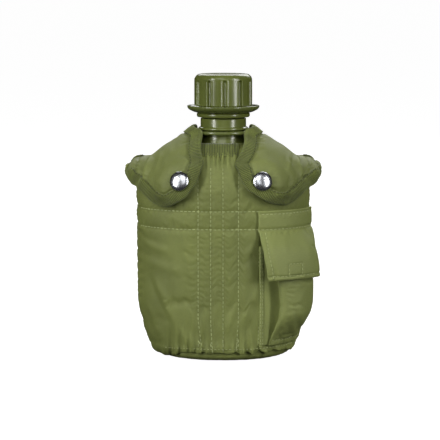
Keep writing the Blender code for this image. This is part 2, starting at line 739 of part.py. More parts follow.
def make_pocket():
    heights = [14.0, 20.0, 27.0, 34.0, 44.0, 56.0, 67.0, 78.0, 88.0]
    rows = strip_rows(heights, lambda z: POCKET_LEFT_X, lambda z: POCKET_RIGHT_ANGLE, pocket_offset, 14)
    sheet("pocket_body", rows, POCKET_THICK, "nylon", outward=False)
    band_inner = PANEL_OFFSET + PANEL_THICK + 0.5
    heights = steps(BAND_BOTTOM_Z, BAND_TOP_Z, 3)
    rows = strip_rows(heights, lambda z: BAND_LEFT_X, lambda z: BAND_RIGHT_ANGLE, lambda u, z: band_inner, 12)
    sheet("pocket_flap_band", rows, POCKET_FLAP_THICK, "nylon")
    heights = steps(POCKET_FLAP_BOTTOM_Z, POCKET_FLAP_TOP_Z, 8)
    rows = strip_rows(heights, pocket_flap_left, pocket_flap_right, pocket_flap_offset, 12)
    sheet("pocket_flap", rows, POCKET_FLAP_THICK, "nylon")
    patch("pocket_loop_patch", pocket_offset, 0.5)
    patch("pocket_hook_patch", pocket_flap_offset, -0.5 - PATCH_THICK)


# ---------------------------------------------------------------- belt clips

def back_y(x, offset):
    """How far back the wall of the back lies at x, offset off the bottle."""
    u = x / (HALF_WIDTH + offset)
    round_part = (BACK_DEPTH + offset) * (1 - abs(u) ** BACK_POWER) ** (1 / BACK_POWER)
    return BOW * u * u + round_part - BACK_HOLLOW * (1 - u * u) ** 2 + CENTRE_Y


def make_webbing(name, x):
    """A loop of webbing, sewn to the back on both sides of the clip's inner leg."""
    over = CLIP_FRONT_Y + CLIP_THICK / 2 + WEBBING_GAP + CENTRE_Y
    face = PANEL_OFFSET + PANEL_THICK + 2 * WEBBING_GAP
    outline = []
    for dx in WEBBING_STEPS:
        y = over if abs(dx) < CLIP_WIDTH / 2 + 2.0 else back_y(x + dx, face)
        outline.append((x + dx, y))
    rows = [[Vector((px, py, z)) for px, py in outline] for z in WEBBING_Z]
    sheet(name, rows, WEBBING_THICK, "binding", outward=False)


def clip_path():
    """The steel strip: up the inner leg, over the arch, down the outer leg and in under the belt."""
    arch = (CLIP_REAR_Y - CLIP_FRONT_Y) / 2
    middle = CLIP_FRONT_Y + arch
    tail = CLIP_FRONT_Y + CLIP_THICK + 0.4
    path = [(CLIP_FRONT_Y, z) for z in (CLIP_BOTTOM_Z, 100.0, 126.0, CLIP_ARCH_Z)]
    for k in range(1, 5):
        angle = k * pi / 5
        path.append((middle - arch * cos(angle), CLIP_ARCH_Z + arch * sin(angle)))
    path += [(CLIP_REAR_Y, z) for z in (CLIP_ARCH_Z, 126.0, 103.0)]
    path += [(CLIP_REAR_Y - 1.6, 99.6), (tail + 1.6, 95.4), (tail, 92.0), (tail, CLIP_BOTTOM_Z)]
    return path


def make_clip(side):
    x = CLIP_X if side == "right" else -CLIP_X
    path = clip_path()
    sides = (x - CLIP_WIDTH / 2, x + CLIP_WIDTH / 2)
    rows = [[Vector((side_x, y + CENTRE_Y, z)) for side_x in sides] for y, z in path]
    frame = sheet(side + "_clip_frame", rows, CLIP_THICK, "black_steel")
    frame.modifiers["thickness"].offset = 0.0
    reach = CLIP_WIDTH / 2 + SLEEVE_GAP
    front = CLIP_FRONT_Y - CLIP_THICK / 2 - SLEEVE_GAP
    rear = CLIP_FRONT_Y + CLIP_THICK * 1.5 + 0.4 + SLEEVE_GAP
    outline = [(x - reach, front), (x + reach, front), (x + reach, rear), (x - reach, rear)]
    rows = [[Vector((px, py + CENTRE_Y, z)) for px, py in outline] for z in SLEEVE_Z]
    sheet(side + "_clip_slide", rows, SLEEVE_WALL, "black_steel", closed=True)
    make_webbing(side + "_clip_webbing", x)


clear_scene()
CANTEEN = collection("canteen")
CUTTERS = collection("canteen_cutters")
make_bottle()
make_cap()
make_keeper()
make_cover()
for flap_side in ("left", "right"):
    make_flap(flap_side)
    make_clip(flap_side)
make_pocket()
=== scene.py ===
from math import cos, hypot, pi, radians, sin

import bpy
import numpy as np
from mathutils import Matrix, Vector
from mathutils.bvhtree import BVHTree


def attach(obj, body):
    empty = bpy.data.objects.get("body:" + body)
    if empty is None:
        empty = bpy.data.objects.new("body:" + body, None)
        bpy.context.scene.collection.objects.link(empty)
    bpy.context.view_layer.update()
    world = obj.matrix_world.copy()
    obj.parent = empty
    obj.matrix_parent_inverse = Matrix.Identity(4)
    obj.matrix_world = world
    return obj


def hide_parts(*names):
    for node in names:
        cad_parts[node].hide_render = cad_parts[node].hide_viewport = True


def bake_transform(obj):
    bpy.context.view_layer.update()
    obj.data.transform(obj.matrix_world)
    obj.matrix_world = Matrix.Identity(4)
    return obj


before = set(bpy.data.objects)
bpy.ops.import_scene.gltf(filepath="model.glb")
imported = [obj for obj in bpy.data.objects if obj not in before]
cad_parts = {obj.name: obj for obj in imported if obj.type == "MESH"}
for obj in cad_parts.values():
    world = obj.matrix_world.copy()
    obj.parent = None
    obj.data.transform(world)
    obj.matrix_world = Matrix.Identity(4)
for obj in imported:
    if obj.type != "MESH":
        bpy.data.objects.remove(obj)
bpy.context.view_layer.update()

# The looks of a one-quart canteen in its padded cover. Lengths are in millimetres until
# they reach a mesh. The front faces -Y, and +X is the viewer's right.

MM = 0.001
RANDOM = np.random.default_rng(7)

# ---------------------------------------------------------------- the form under the cloth
CENTRE_Y = -0.4
HALF_WIDTH, BASE_HALF_WIDTH = 61.0, 50.0
FRONT_DEPTH, BACK_DEPTH = 37.0, 34.0
BOW, BACK_HOLLOW = 9.0, 5.0
FRONT_POWER, BACK_POWER = 2.8, 3.5
BASE_Z, CORNER_RADIUS, TAPER_TOP_Z = 5.0, 8.0, 42.0
SHOULDER_Z, SHOULDER_RISE, SHOULDER_POWER, DEPTH_POWER = 128.0, 30.0, 1.35, 0.9
NECK_ROOT_RADIUS, WALL = 17.0, 2.0
CORNER_Z = BASE_Z + CORNER_RADIUS


def smooth(x, low=0.0, high=1.0):
    x = np.clip((np.asarray(x, float) - low) / (high - low), 0.0, 1.0)
    return x * x * (3 - 2 * x)


def bell(x, width):
    return np.exp(-(np.asarray(x, float) / width) ** 2)


def level(path, offset):
    """Height, half width, front and back depth and shape at a path coordinate: 0 to 1 is the
    bottom corner, 1 to 2 the wall, and 2 to 3 the shoulder."""
    path, offset = np.broadcast_arrays(np.asarray(path, float), np.asarray(offset, float))
    turn = np.clip(path, 0, 1) * pi / 2
    inset = CORNER_RADIUS * (1 - np.sin(turn))
    wall_z = CORNER_Z + (SHOULDER_Z - CORNER_Z) * (np.clip(path, 1, 2) - 1)
    taper = (TAPER_TOP_Z - wall_z) / (TAPER_TOP_Z - CORNER_Z)
    taper = 0.5 * (taper + np.sqrt(taper ** 2 + 0.03))
    arc = (np.clip(path, 2, 3) - 2) * pi / 2
    across, along = np.clip(np.cos(arc), 0, 1), np.maximum(np.sin(arc), 1e-6)
    rise = SHOULDER_RISE * SHOULDER_POWER * along ** (SHOULDER_POWER - 1) * across
    run = (HALF_WIDTH - NECK_ROOT_RADIUS) * along
    slope = np.hypot(rise, run)
    low, top = path <= 1, path > 2
    z = np.where(low, BASE_Z + CORNER_RADIUS * (1 - np.cos(turn)), wall_z)
    z = np.where(top, SHOULDER_Z + SHOULDER_RISE * along ** SHOULDER_POWER, z)
    half = np.where(low, BASE_HALF_WIDTH - inset, HALF_WIDTH - (HALF_WIDTH - BASE_HALF_WIDTH) * taper)
    half = np.where(top, NECK_ROOT_RADIUS + (HALF_WIDTH - NECK_ROOT_RADIUS) * across, half)
    depths = []
    for depth in (FRONT_DEPTH, BACK_DEPTH):
        shrunk = NECK_ROOT_RADIUS + (depth - NECK_ROOT_RADIUS) * across ** DEPTH_POWER
        depths.append(np.where(top, shrunk, np.where(low, depth - inset, depth)))
    side = np.where(low, np.sin(turn), np.where(top, rise / slope, 1.0))
    up = np.where(low, -np.cos(turn), np.where(top, run / slope, 0.0))
    shape = np.where(top, 1 - along, 1.0)
    return z + offset * up, half + offset * side, depths[0] + offset * side, depths[1] + offset * side, shape


def spread(power):
    return 2 + 0.45 * (power - 2)


def hug(path, angle, offset):
    """Points that lie offset off the bottle; angle 0 is +X and -90 degrees the front."""
    path, angle, offset = np.broadcast_arrays(
        np.asarray(path, float), np.asarray(angle, float), np.asarray(offset, float))
    z, half, front, back, shape = level(path, offset)
    c, s = np.cos(angle), np.sin(angle)
    rear = s > 0
    power = 2 + (np.where(rear, BACK_POWER, FRONT_POWER) - 2) * shape
    u = np.sign(c) * np.abs(c) ** (2 / spread(power))
    y = (1 - np.minimum(1.0, np.abs(u) ** power)) ** (1 / power) * np.where(rear, back, -front)
    y = y + BOW * shape * u * u - np.where(rear, BACK_HOLLOW * shape * (1 - u * u) ** 2, 0.0)
    return np.stack([half * u, y + CENTRE_Y, z], -1)


def locate(x, z, offset):
    """Path and angle of the points at x and z on the front, offset off the bottle."""
    x, z, offset = np.broadcast_arrays(
        np.asarray(x, float), np.asarray(z, float), np.asarray(offset, float))
    low, high = np.full(x.shape, 0.7), np.full(x.shape, 2.98)
    for _ in range(40):
        path = (low + high) / 2
        below = level(path, offset)[0] < z
        low, high = np.where(below, path, low), np.where(below, high, path)
    _, half, _, _, shape = level(path, offset)
    power = 2 + (FRONT_POWER - 2) * shape
    angle = -np.arccos(np.minimum(1.0, np.abs(x) / half) ** (spread(power) / 2))
    return path, np.where(x >= 0, angle, -pi - angle)


def spline(p0, p1, p2, p3, f):
    """A Catmull-Rom curve's points between p1 and p2."""
    return 0.5 * (2 * p1 + (p2 - p0) * f + (2 * p0 - 5 * p1 + 4 * p2 - p3) * f ** 2
                  + (3 * p1 - p0 - 3 * p2 + p3) * f ** 3)


def catmull(points, t):
    """A smooth curve through points, at each t from 0 to 1."""
    points = np.asarray(points, float)
    span = np.asarray(t, float) * (len(points) - 1)
    i = np.minimum(span.astype(int), len(points) - 2)
    around = (points[np.clip(i + k, 0, len(points) - 1)] for k in (-1, 0, 1, 2))
    return spline(*around, (span - i)[..., None])


def catmull_closed(points, steps):
    """A smooth closed curve through points, with steps to each."""
    points = np.asarray(points, float)
    return np.array([spline(*(points[(i + k) % len(points)] for k in (-1, 0, 1, 2)), f)
                     for i in range(len(points)) for f in np.arange(steps) / steps])


def unit(vectors):
    return vectors / np.maximum(np.linalg.norm(vectors, axis=-1, keepdims=True), 1e-9)


def distances(points):
    """The distance along a line of points, for each of them."""
    return np.concatenate([[0], np.cumsum(np.linalg.norm(np.diff(points, axis=0), axis=1))])


def along_line(points, reach, at):
    """The places at given distances along a line whose points lie at the distances in reach."""
    return np.stack([np.interp(at, reach, column) for column in np.transpose(points)], -1)


def quads(rows, columns, around=False):
    """The faces of a grid of points; around closes each row on itself."""
    index = np.arange(rows * columns).reshape(rows, columns)
    left, right = (index, np.roll(index, -1, axis=1)) if around else (index[:, :-1], index[:, 1:])
    return np.stack([left[:-1], right[:-1], right[1:], left[1:]], -1).reshape(-1, 4)


def tube_faces(rows, columns):
    """The faces of a tube of closed rows, with a face over each end."""
    last = (rows - 1) * columns
    return quads(rows, columns, True).tolist() + [list(range(columns))[::-1],
                 list(range(last, last + columns))]


# ---------------------------------------------------------------- materials
def new_material(name):
    material = bpy.data.materials.new(name)
    material.use_nodes = True
    return material, material.node_tree, material.node_tree.nodes["Principled BSDF"]


def node(tree, kind, **values):
    made = tree.nodes.new("ShaderNode" + kind)
    for key, value in values.items():
        if key.startswith("in_"):
            made.inputs[key[3:].replace("_", " ")].default_value = value
        else:
            setattr(made, key, value)
    return made


def ramp(tree, source, *stops, colour=(1, 1, 1)):
    """Shades of a colour on a value, from stops of (position, amount)."""
    made = node(tree, "ValToRGB")
    elements = made.color_ramp.elements
    while len(elements) < len(stops):
        elements.new(0.5)
    for element, (position, amount) in zip(elements, stops):
        element.position = position
        element.color = (*(c * amount for c in colour), 1.0)
    tree.links.new(source, made.inputs["Fac"])
    return made.outputs["Color"]


def noise(tree, coordinates, scale, detail=3.0, roughness=0.55):
    made = node(tree, "TexNoise", in_Scale=scale, in_Detail=detail, in_Roughness=roughness)
    tree.links.new(coordinates, made.inputs["Vector"])
    return made.outputs["Fac"]


def mixed(tree, a, b, factor, mode="MULTIPLY"):
    made = node(tree, "Mix", data_type="RGBA", blend_type=mode)
    made.inputs["Factor"].default_value = factor
    tree.links.new(a, made.inputs["A"])
    tree.links.new(b, made.inputs["B"])
    return made.outputs["Result"]


def math(tree, operation, *values):
    made = node(tree, "Math", operation=operation)
    for socket, value in zip(made.inputs, values):
        if isinstance(value, (int, float)):
            socket.default_value = value
        else:
            tree.links.new(value, socket)
    return made.outputs["Value"]


def bumped(tree, height, strength, distance, before=None):
    made = node(tree, "Bump", in_Strength=strength, in_Distance=distance)
    tree.links.new(height, made.inputs["Height"])
    if before is not None:
        tree.links.new(before, made.inputs["Normal"])
    return made.outputs["Normal"]


def dress(tree, shader, colour, normal, **values):
    """Links a colour and a normal to the shader, and sets or links its other inputs by name."""
    for key, value in {"Base_Color": colour, "Normal": normal, **values}.items():
        socket = shader.inputs[key.replace("_", " ")]
        if isinstance(value, bpy.types.NodeSocket):
            tree.links.new(value, socket)
        else:
            socket.default_value = value


def coordinates(tree):
    """The object's own coordinates, the weave's, and how far an edge stands out."""
    return (node(tree, "TexCoord").outputs["Object"], node(tree, "UVMap", uv_map="Weave").outputs["UV"],
            node(tree, "NewGeometry").outputs["Pointiness"])


def stretched_noise(tree, source, stretch, turn, scale, detail):
    """Noise drawn out into streaks."""
    place = node(tree, "Mapping", in_Scale=stretch, in_Rotation=turn)
    tree.links.new(source, place.inputs["Vector"])
    return noise(tree, place.outputs["Vector"], scale, detail)


def weave_height(tree, uv, pitch):
    """A plain weave: two crossed wave textures, in threads of pitch millimetres."""
    heights = []
    for direction in ("X", "Y"):
        wave = node(tree, "TexWave", wave_type="BANDS", bands_direction=direction, wave_profile="SIN",
                    in_Scale=2 * pi / (20 * pitch), in_Distortion=0.6, in_Detail=1.0)
        wave.inputs["Detail Scale"].default_value = 2.0
        tree.links.new(uv, wave.inputs["Vector"])
        heights.append(wave.outputs["Fac"])
    return math(tree, "MAXIMUM", *heights)


def cloth_material(name, colour, pitch=0.62, roughness=0.62, sheen=0.12, vary=0.16, bump=0.35,
                   worn=0.08):
    """Woven cloth: threads, patchy dye, lighter where it is rubbed, and a soft sheen."""
    material, tree, shader = new_material(name)
    place, uv, edges = coordinates(tree)
    threads = weave_height(tree, uv, pitch)
    patches = noise(tree, place, 22.0, 4.0)
    toned = ramp(tree, patches, (0.3, 1 - vary), (0.7, 1 + vary), colour=colour)
    streaks = stretched_noise(tree, uv, (0.35, 2.4, 1.0), (0, 0, 0), 0.8, 3.0)
    toned = mixed(tree, toned, ramp(tree, streaks, (0.3, 0.92), (0.7, 1.06)), 1.0)
    toned = mixed(tree, toned, ramp(tree, threads, (0.0, 0.80), (0.9, 1.05)), 0.75)
    toned = mixed(tree, toned, ramp(tree, edges, (0.49, 1.0), (0.56, 1.0 + 4 * worn)), 0.6)
    normal = bumped(tree, noise(tree, place, 900.0, 2.0), 0.15, 0.0002)
    normal = bumped(tree, threads, bump, 0.00025, normal)
    dress(tree, shader, toned, normal,
          Roughness=math(tree, "MULTIPLY_ADD", patches, 0.16, roughness - 0.08), Sheen_Weight=sheen,
          Sheen_Roughness=0.45, Sheen_Tint=(*(c * 2.6 for c in colour), 1.0), Specular_IOR_Level=0.35)
    return material


RIB_PITCH = 1.3


def rib_weave(rows, columns, points_per_rib):
    """Weave coordinates for a ribbed tape: whole numbers of RIB_PITCH at the tops of its ribs."""
    return np.stack(np.meshgrid(np.arange(columns) / points_per_rib * RIB_PITCH, np.arange(rows) * 0.35),
                    -1)


def tape_material(name, colour, ribs=True):
    """Ribbed woven tape, ribs in the mesh; painted shade in troughs and hollows, painted highlight on tops."""
    material, tree, shader = new_material(name)
    place, uv, ridge = coordinates(tree)
    threads = weave_height(tree, uv, 0.42)
    toned = ramp(tree, noise(tree, place, 120.0, 4.0), (0.3, 0.78), (0.72, 1.2), colour=colour)
    toned = mixed(tree, toned, ramp(tree, threads, (0.0, 0.72), (0.9, 1.08)), 0.8)
    # painted shade in hollows and painted highlight on ridges, from how far each edge stands out
    toned = mixed(tree, toned, ramp(tree, ridge, (0.44, 0.6), (0.5, 1.0), (0.57, 1.45)), 0.8)
    # painted shade in the troughs between ribs and painted highlight along their tops
    if ribs:
        split = node(tree, "SeparateXYZ")
        tree.links.new(uv, split.inputs["Vector"])
        rib = math(tree, "COSINE", math(tree, "MULTIPLY", split.outputs["X"], 2 * pi / RIB_PITCH))
        rib = math(tree, "MULTIPLY_ADD", rib, 0.5, 0.5)
        toned = mixed(tree, toned, ramp(tree, rib, (0.05, 0.38), (0.75, 1.25)), 1.0)
    normal = bumped(tree, noise(tree, place, 1500.0, 2.0), 0.25, 0.0002)
    normal = bumped(tree, threads, 0.4, 0.0002, normal)
    dress(tree, shader, toned, normal, Roughness=0.82, Sheen_Weight=0.2, Specular_IOR_Level=0.25)
    return material


def pile_material(name, colour):
    """Short napped pile."""
    material, tree, shader = new_material(name)
    place, _, _ = coordinates(tree)
    tufts = node(tree, "TexVoronoi", feature="F1", in_Scale=1100.0)
    tree.links.new(place, tufts.inputs["Vector"])
    tufts = tufts.outputs["Distance"]
    clumps = noise(tree, place, 160.0, 5.0, 0.7)
    toned = ramp(tree, clumps, (0.3, 0.66), (0.7, 1.3), colour=colour)
    toned = mixed(tree, toned, ramp(tree, tufts, (0.0, 1.25), (0.8, 0.6)), 0.8)
    normal = bumped(tree, tufts, 0.8, 0.0005, bumped(tree, clumps, 0.6, 0.0008))
    dress(tree, shader, toned, normal, Roughness=0.95, Sheen_Weight=0.6, Specular_IOR_Level=0.1)
    return material


def plastic_material(name, colour, roughness):
    """Moulded polyethylene: satin, faintly mottled and scuffed; painted shade in hollows, highlight on edges."""
    material, tree, shader = new_material(name)
    place, _, edges = coordinates(tree)
    mottle = noise(tree, place, 60.0, 4.0)
    toned = ramp(tree, mottle, (0.3, 0.88), (0.72, 1.12), colour=colour)
    # painted shade in hollows and painted highlight along edges, from how far each edge stands out
    toned = mixed(tree, toned, ramp(tree, edges, (0.42, 0.62), (0.5, 1.0), (0.6, 1.5)), 0.7)
    rough = math(tree, "MULTIPLY_ADD", noise(tree, place, 260.0, 5.0, 0.7), 0.12, roughness - 0.06)
    normal = bumped(tree, noise(tree, place, 700.0, 3.0), 0.04, 0.0003)
    normal = bumped(tree, mottle, 0.10, 0.0008, normal)
    dress(tree, shader, toned, normal, Roughness=rough, Specular_IOR_Level=0.55)
    return material


def metal_material(name, colour, roughness, metallic, wear):
    """Plated or blackened metal with fine scratches and worn edges."""
    material, tree, shader = new_material(name)
    place, _, edges = coordinates(tree)
    toned = ramp(tree, noise(tree, place, 90.0, 5.0, 0.7), (0.3, 0.85), (0.7, 1.08), colour=colour)
    toned = mixed(tree, toned, ramp(tree, edges, (0.52, 1.0), (0.6, wear)), 1.0)
    rough = math(tree, "MULTIPLY_ADD", noise(tree, place, 420.0, 5.0, 0.75), 0.2, roughness - 0.06)
    scratches = stretched_noise(tree, place, (1.0, 1.0, 14.0), (0.4, 0.9, 0.2), 160.0, 4.0)
    dress(tree, shader, toned, bumped(tree, scratches, 0.05, 0.0003), Roughness=rough, Metallic=metallic)
    return material


NYLON = (0.138, 0.160, 0.041)
NYLON_CLOTH = cloth_material("nylon", NYLON)
FLAP_CLOTH = cloth_material("flap_nylon", (0.134, 0.155, 0.042))
POCKET_CLOTH = cloth_material("pocket_nylon", (0.172, 0.198, 0.058), vary=0.1)
BINDING = tape_material("grosgrain", (0.098, 0.117, 0.026))
WEBBING = tape_material("webbing", (0.110, 0.130, 0.045))
PILE = pile_material("pile", (0.150, 0.160, 0.085))
LOOP = pile_material("loop_tape", (0.100, 0.120, 0.045))
THREAD = tape_material("thread", (0.235, 0.265, 0.110), ribs=False)
DARK_THREAD = tape_material("dark_thread", (0.050, 0.060, 0.012), ribs=False)
BOTTLE = plastic_material("bottle_polyethylene", (0.092, 0.110, 0.024), 0.25)
KEEPER = plastic_material("keeper_polyethylene", (0.084, 0.102, 0.024), 0.28)
RUBBER = plastic_material("gasket_rubber", (0.55, 0.53, 0.46), 0.7)
NICKEL = metal_material("nickel", (0.66, 0.68, 0.72), 0.22, 1.0, 1.1)
STEEL = metal_material("black_steel", (0.022, 0.023, 0.022), 0.42, 0.7, 3.0)


# ---------------------------------------------------------------- meshes
def grid_normals(points):
    return unit(np.cross(np.gradient(points, axis=1), np.gradient(points, axis=0)))


class Surface:
    """A rectangular grid of points on cloth, rows by columns, with its normals facing out."""

    def __init__(self, points, side=1.0):
        self.points = np.asarray(points, float)
        self.side = side
        self.normals = grid_normals(self.points) * side

    def moved(self, amount):
        """The surface pushed out along its normals by an amount for each point."""
        return Surface(self.points + self.normals * np.asarray(amount)[..., None], self.side)

    def at(self, u, v):
        """Points and normals at places 0 to 1 across and along."""
        rows, columns = self.points.shape[:2]
        x = np.clip(np.asarray(u, float), 0, 1) * (columns - 1)
        y = np.clip(np.asarray(v, float), 0, 1) * (rows - 1)
        j, i = np.minimum(x.astype(int), columns - 2), np.minimum(y.astype(int), rows - 2)
        fx, fy = (x - j)[..., None], (y - i)[..., None]
        found = []
        for data in (self.points, self.normals):
            low = data[i, j] * (1 - fx) + data[i, j + 1] * fx
            high = data[i + 1, j] * (1 - fx) + data[i + 1, j + 1] * fx
            found.append(low * (1 - fy) + high * fy)
        return found


def build(name, points, faces, materials, uv=None, indices=None, sharp=60):
    mesh = bpy.data.meshes.new(name)
    points = np.asarray(points, float).reshape(-1, 3)
    mesh.from_pydata((points * MM).tolist(), [], faces)
    for material in materials:
        mesh.materials.append(material)
    if indices is not None:
        mesh.polygons.foreach_set("material_index", indices)
    layer = mesh.uv_layers.new(name="Weave")
    corners = np.zeros(len(mesh.loops), int)
    mesh.loops.foreach_get("vertex_index", corners)
    flat = points[:, [0, 2]] if uv is None else np.asarray(uv).reshape(-1, 2)
    layer.data.foreach_set("uv", flat[corners].astype(np.float32).ravel())
    mesh.shade_smooth()
    mesh.set_sharp_from_angle(angle=radians(sharp))
    obj = bpy.data.objects.new(name, mesh)
    bpy.context.scene.collection.objects.link(obj)
    return obj


def arc_lengths(points):
    """Distance across and along the grid for each point, for a weave that doesn't stretch."""
    across = np.linalg.norm(np.diff(points, axis=1), axis=-1)
    along = np.linalg.norm(np.diff(points, axis=0), axis=-1)
    u = np.concatenate([np.zeros((points.shape[0], 1)), np.cumsum(across, axis=1)], 1)
    u -= u[:, points.shape[1] // 2][:, None]
    v = np.concatenate([np.zeros((1, points.shape[1])), np.cumsum(along, axis=0)], 0)
    v = np.broadcast_to(v[:, points.shape[1] // 2][:, None], v.shape)
    return np.stack([u, v], -1)


RIM_BULGE = 0.35                 # how far a cloth's rim stands out, as a share of its thickness


def cloth(name, surface, thickness, material, lining=None, closed=False, base=None, weave=None):
    """A closed piece of cloth: its outer face, an inner face and a rounded rim between them.

    The inner face follows base where one is given, as under a ribbed tape. The weave's
    coordinates are lengths across and along the cloth, unless they are given.
    """
    outer, normals = surface.points, surface.normals
    thickness = np.broadcast_to(np.asarray(thickness, float), outer.shape[:2])[..., None]
    inner = outer - normals * thickness if base is None else base.points - base.normals * thickness
    rows, columns = outer.shape[:2]
    across, along = np.gradient(outer, axis=1), np.gradient(outer, axis=0)
    push = np.zeros_like(outer)
    if not closed:
        push[:, 0] -= unit(across[:, 0])
        push[:, -1] += unit(across[:, -1])
    push[0] -= unit(along[0])
    push[-1] += unit(along[-1])
    middle = ((outer + inner) / 2 + push * thickness * RIM_BULGE).reshape(-1, 3)
    index = np.arange(rows * columns).reshape(rows, columns)
    outside, total = quads(rows, columns, closed), rows * columns
    if surface.side < 0:
        outside = outside[:, ::-1]
    loops = [index[0], index[-1][::-1]]
    if not closed:
        loops = [np.concatenate([index[0, :-1], index[:-1, -1], index[-1, :0:-1], index[:0:-1, 0]])]
    rims, start = [], 2 * total
    for loop in loops:
        ring = start + np.arange(len(loop))
        after, ring_after = np.roll(loop, -1), np.roll(ring, -1)
        rims += [np.stack([loop, ring, ring_after, after], -1),
                 np.stack([ring, loop + total, after + total, ring_after], -1)]
        start += len(loop)
    rims = np.concatenate(rims)
    if surface.side < 0:
        rims = rims[:, ::-1]
    faces = np.concatenate([outside, outside[:, ::-1] + total, rims])
    uv = (arc_lengths(outer) if weave is None else weave).reshape(-1, 2)
    loops = np.concatenate(loops)
    everything = np.concatenate([outer.reshape(-1, 3), inner.reshape(-1, 3), middle[loops]])
    materials, indices = [material], None
    if lining is not None:
        materials.append(lining)
        indices = np.zeros(len(faces), int)
        indices[len(outside):2 * len(outside)] = 1
    return build(name, everything, faces.tolist(), materials, np.concatenate([uv, uv, uv[loops]]), indices)


def lathe(name, profile, count, material, centre=(0.0, CENTRE_Y), closed=False, radius_at=None):
    """A profile of (radius, height) turned about the upright axis. Closed profiles are rings."""
    profile = np.asarray(profile, float)
    turn = np.linspace(0, 2 * pi, count, endpoint=False)
    radius = np.broadcast_to(profile[:, 0][:, None], (len(profile), count)).copy()
    height = np.broadcast_to(profile[:, 1][:, None], (len(profile), count))
    if radius_at is not None:
        radius = radius_at(radius, height, turn[None, :])
    points = np.stack([radius * np.cos(turn) + centre[0], radius * np.sin(turn) + centre[1], height], -1)
    faces = tube_faces(len(profile), count)
    if closed:
        last = (len(profile) - 1) * count
        faces = faces[:-2] + (quads(2, count, True) + (last, last, -count, -count)).tolist()
    around = np.broadcast_to(turn * profile[:, 0].max(), (len(profile), count))
    uv = np.stack([around, np.broadcast_to(distances(profile)[:, None], (len(profile), count))], -1)
    return build(name, points, faces, [material], uv, sharp=50)


def rounded(points, radius, steps, closed=True):
    """An outline of (a, b) points with its corners rounded; an open one keeps its two ends."""
    made, count = [], len(points)
    for i in range(count):
        p, before, after = (np.asarray(points[k % count], float) for k in (i, i - 1, i + 1))
        if not closed and i in (0, count - 1):
            made.append(p)
            continue
        back, ahead = np.linalg.norm(before - p), np.linalg.norm(after - p)
        reach = min(radius, 0.45 * back, 0.45 * ahead)
        a, b = p + (before - p) / back * reach, p + (after - p) / ahead * reach
        made += [(1 - t) ** 2 * a + 2 * t * (1 - t) * p + t * t * b for t in np.linspace(0, 1, steps)]
    return np.array(made)


THREAD_SIDES = 6
THREAD_SHAPE = ((0.0, 0.35, -0.5), (0.14, 0.85, 0.35), (0.5, 1.0, 0.8), (0.86, 0.85, 0.35),
                (1.0, 0.35, -0.5))       # share of a stitch's length, of its width, of its height
THREAD_FACES = [[a, b, b + THREAD_SIDES, a + THREAD_SIDES] for i in range(len(THREAD_SHAPE) - 1)
                for a, b in ((i * THREAD_SIDES + k, i * THREAD_SIDES + (k + 1) % THREAD_SIDES)
                             for k in range(THREAD_SIDES))]
THREAD_FACES += [list(range(THREAD_SIDES))[::-1],
                 [(len(THREAD_SHAPE) - 1) * THREAD_SIDES + k for k in range(THREAD_SIDES)]]


class Stitches:
    """Sewn thread, gathered stitch by stitch into one mesh."""

    def __init__(self):
        self.points, self.faces = [], []

    def one(self, start, end, normal, width, height, sink=0.25):
        along = end - start
        length = np.linalg.norm(along)
        if length < 1e-6:
            return
        along = along / length
        side = unit(np.cross(normal, along))
        up = np.cross(along, side)
        base = len(self.points)
        for t, wide, high in THREAD_SHAPE:
            centre = start + along * length * t + up * (height * high - sink * 0.5)
            for turn in np.arange(THREAD_SIDES) * 2 * pi / THREAD_SIDES:
                self.points.append(centre + side * cos(turn) * width / 2 * wide
                                   + up * sin(turn) * height * 0.6 * wide)
        self.faces += [[base + k for k in face] for face in THREAD_FACES]

    def run(self, points, normals, stitch=2.4, gap=0.8, width=0.55, height=0.35):
        """A row of stitches along a line on the cloth."""
        for _ in range(3 if len(points) > 30 else 0):
            points, normals = (np.concatenate([v[:1], (v[:-2] + v[1:-1] * 2 + v[2:]) / 4, v[-1:]])
                               for v in (points, normals))
        reach = distances(points)
        count = max(1, int(reach[-1] / (stitch + gap)))
        pitch = reach[-1] / count
        for k in range(count):
            ends = (k + np.array((gap / 2 / pitch, 1 - gap / 2 / pitch))) * pitch
            start, end = along_line(points, reach, ends)
            normal = along_line(normals, reach, (k + 0.5) * pitch)
            wander = unit(np.cross(normal, end - start)) * RANDOM.normal(0, 0.06)
            self.one(start + wander, end + wander, normal, width, height)

    def sew(self, surface, u, v, count, lift=0.15, **style):
        """A row on a surface, lift off it. u and v are each a place from 0 to 1 or a (start, end)."""
        u, v = (np.linspace(*at, count) if isinstance(at, tuple) else np.broadcast_to(at, (count,))
                for at in (u, v))
        points, normals = surface.at(u, v)
        self.run(points + normals * lift, normals, **style)

    def sew_at(self, surface, xs, zs, lift=0.15, **style):
        """A row through places on a surface given as x and z."""
        points, normals = nearest_on(surface, xs, zs)
        self.run(points + normals * lift, normals, **style)

    def zigzag(self, points, normals, pitch, reach, width=0.5, height=0.35):
        """A zigzag row, to and fro across a line."""
        lengths = distances(points)
        count = max(2, int(lengths[-1] / pitch * 2))
        last = None
        for k in range(count + 1):
            along = lengths[-1] * k / count
            p, q = along_line(points, lengths, np.array((along, min(along + 0.5, lengths[-1]))))
            normal = along_line(normals, lengths, along)
            if np.linalg.norm(q - p) < 1e-6:
                q = p + (points[-1] - points[-2])
            here = p + unit(np.cross(normal, q - p)) * reach / 2 * (1 if k % 2 else -1)
            if last is not None:
                self.one(last, here, normal, width, height, 0.1)
            last = here

    def object(self, name, material):
        return build(name, np.array(self.points), self.faces, [material])


def dressed(obj, slot, *nodes):
    if nodes:
        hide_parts(*nodes)
    return obj


def on_body(obj, body, slot, *nodes):
    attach(obj, body)
    return dressed(obj, slot, *nodes)


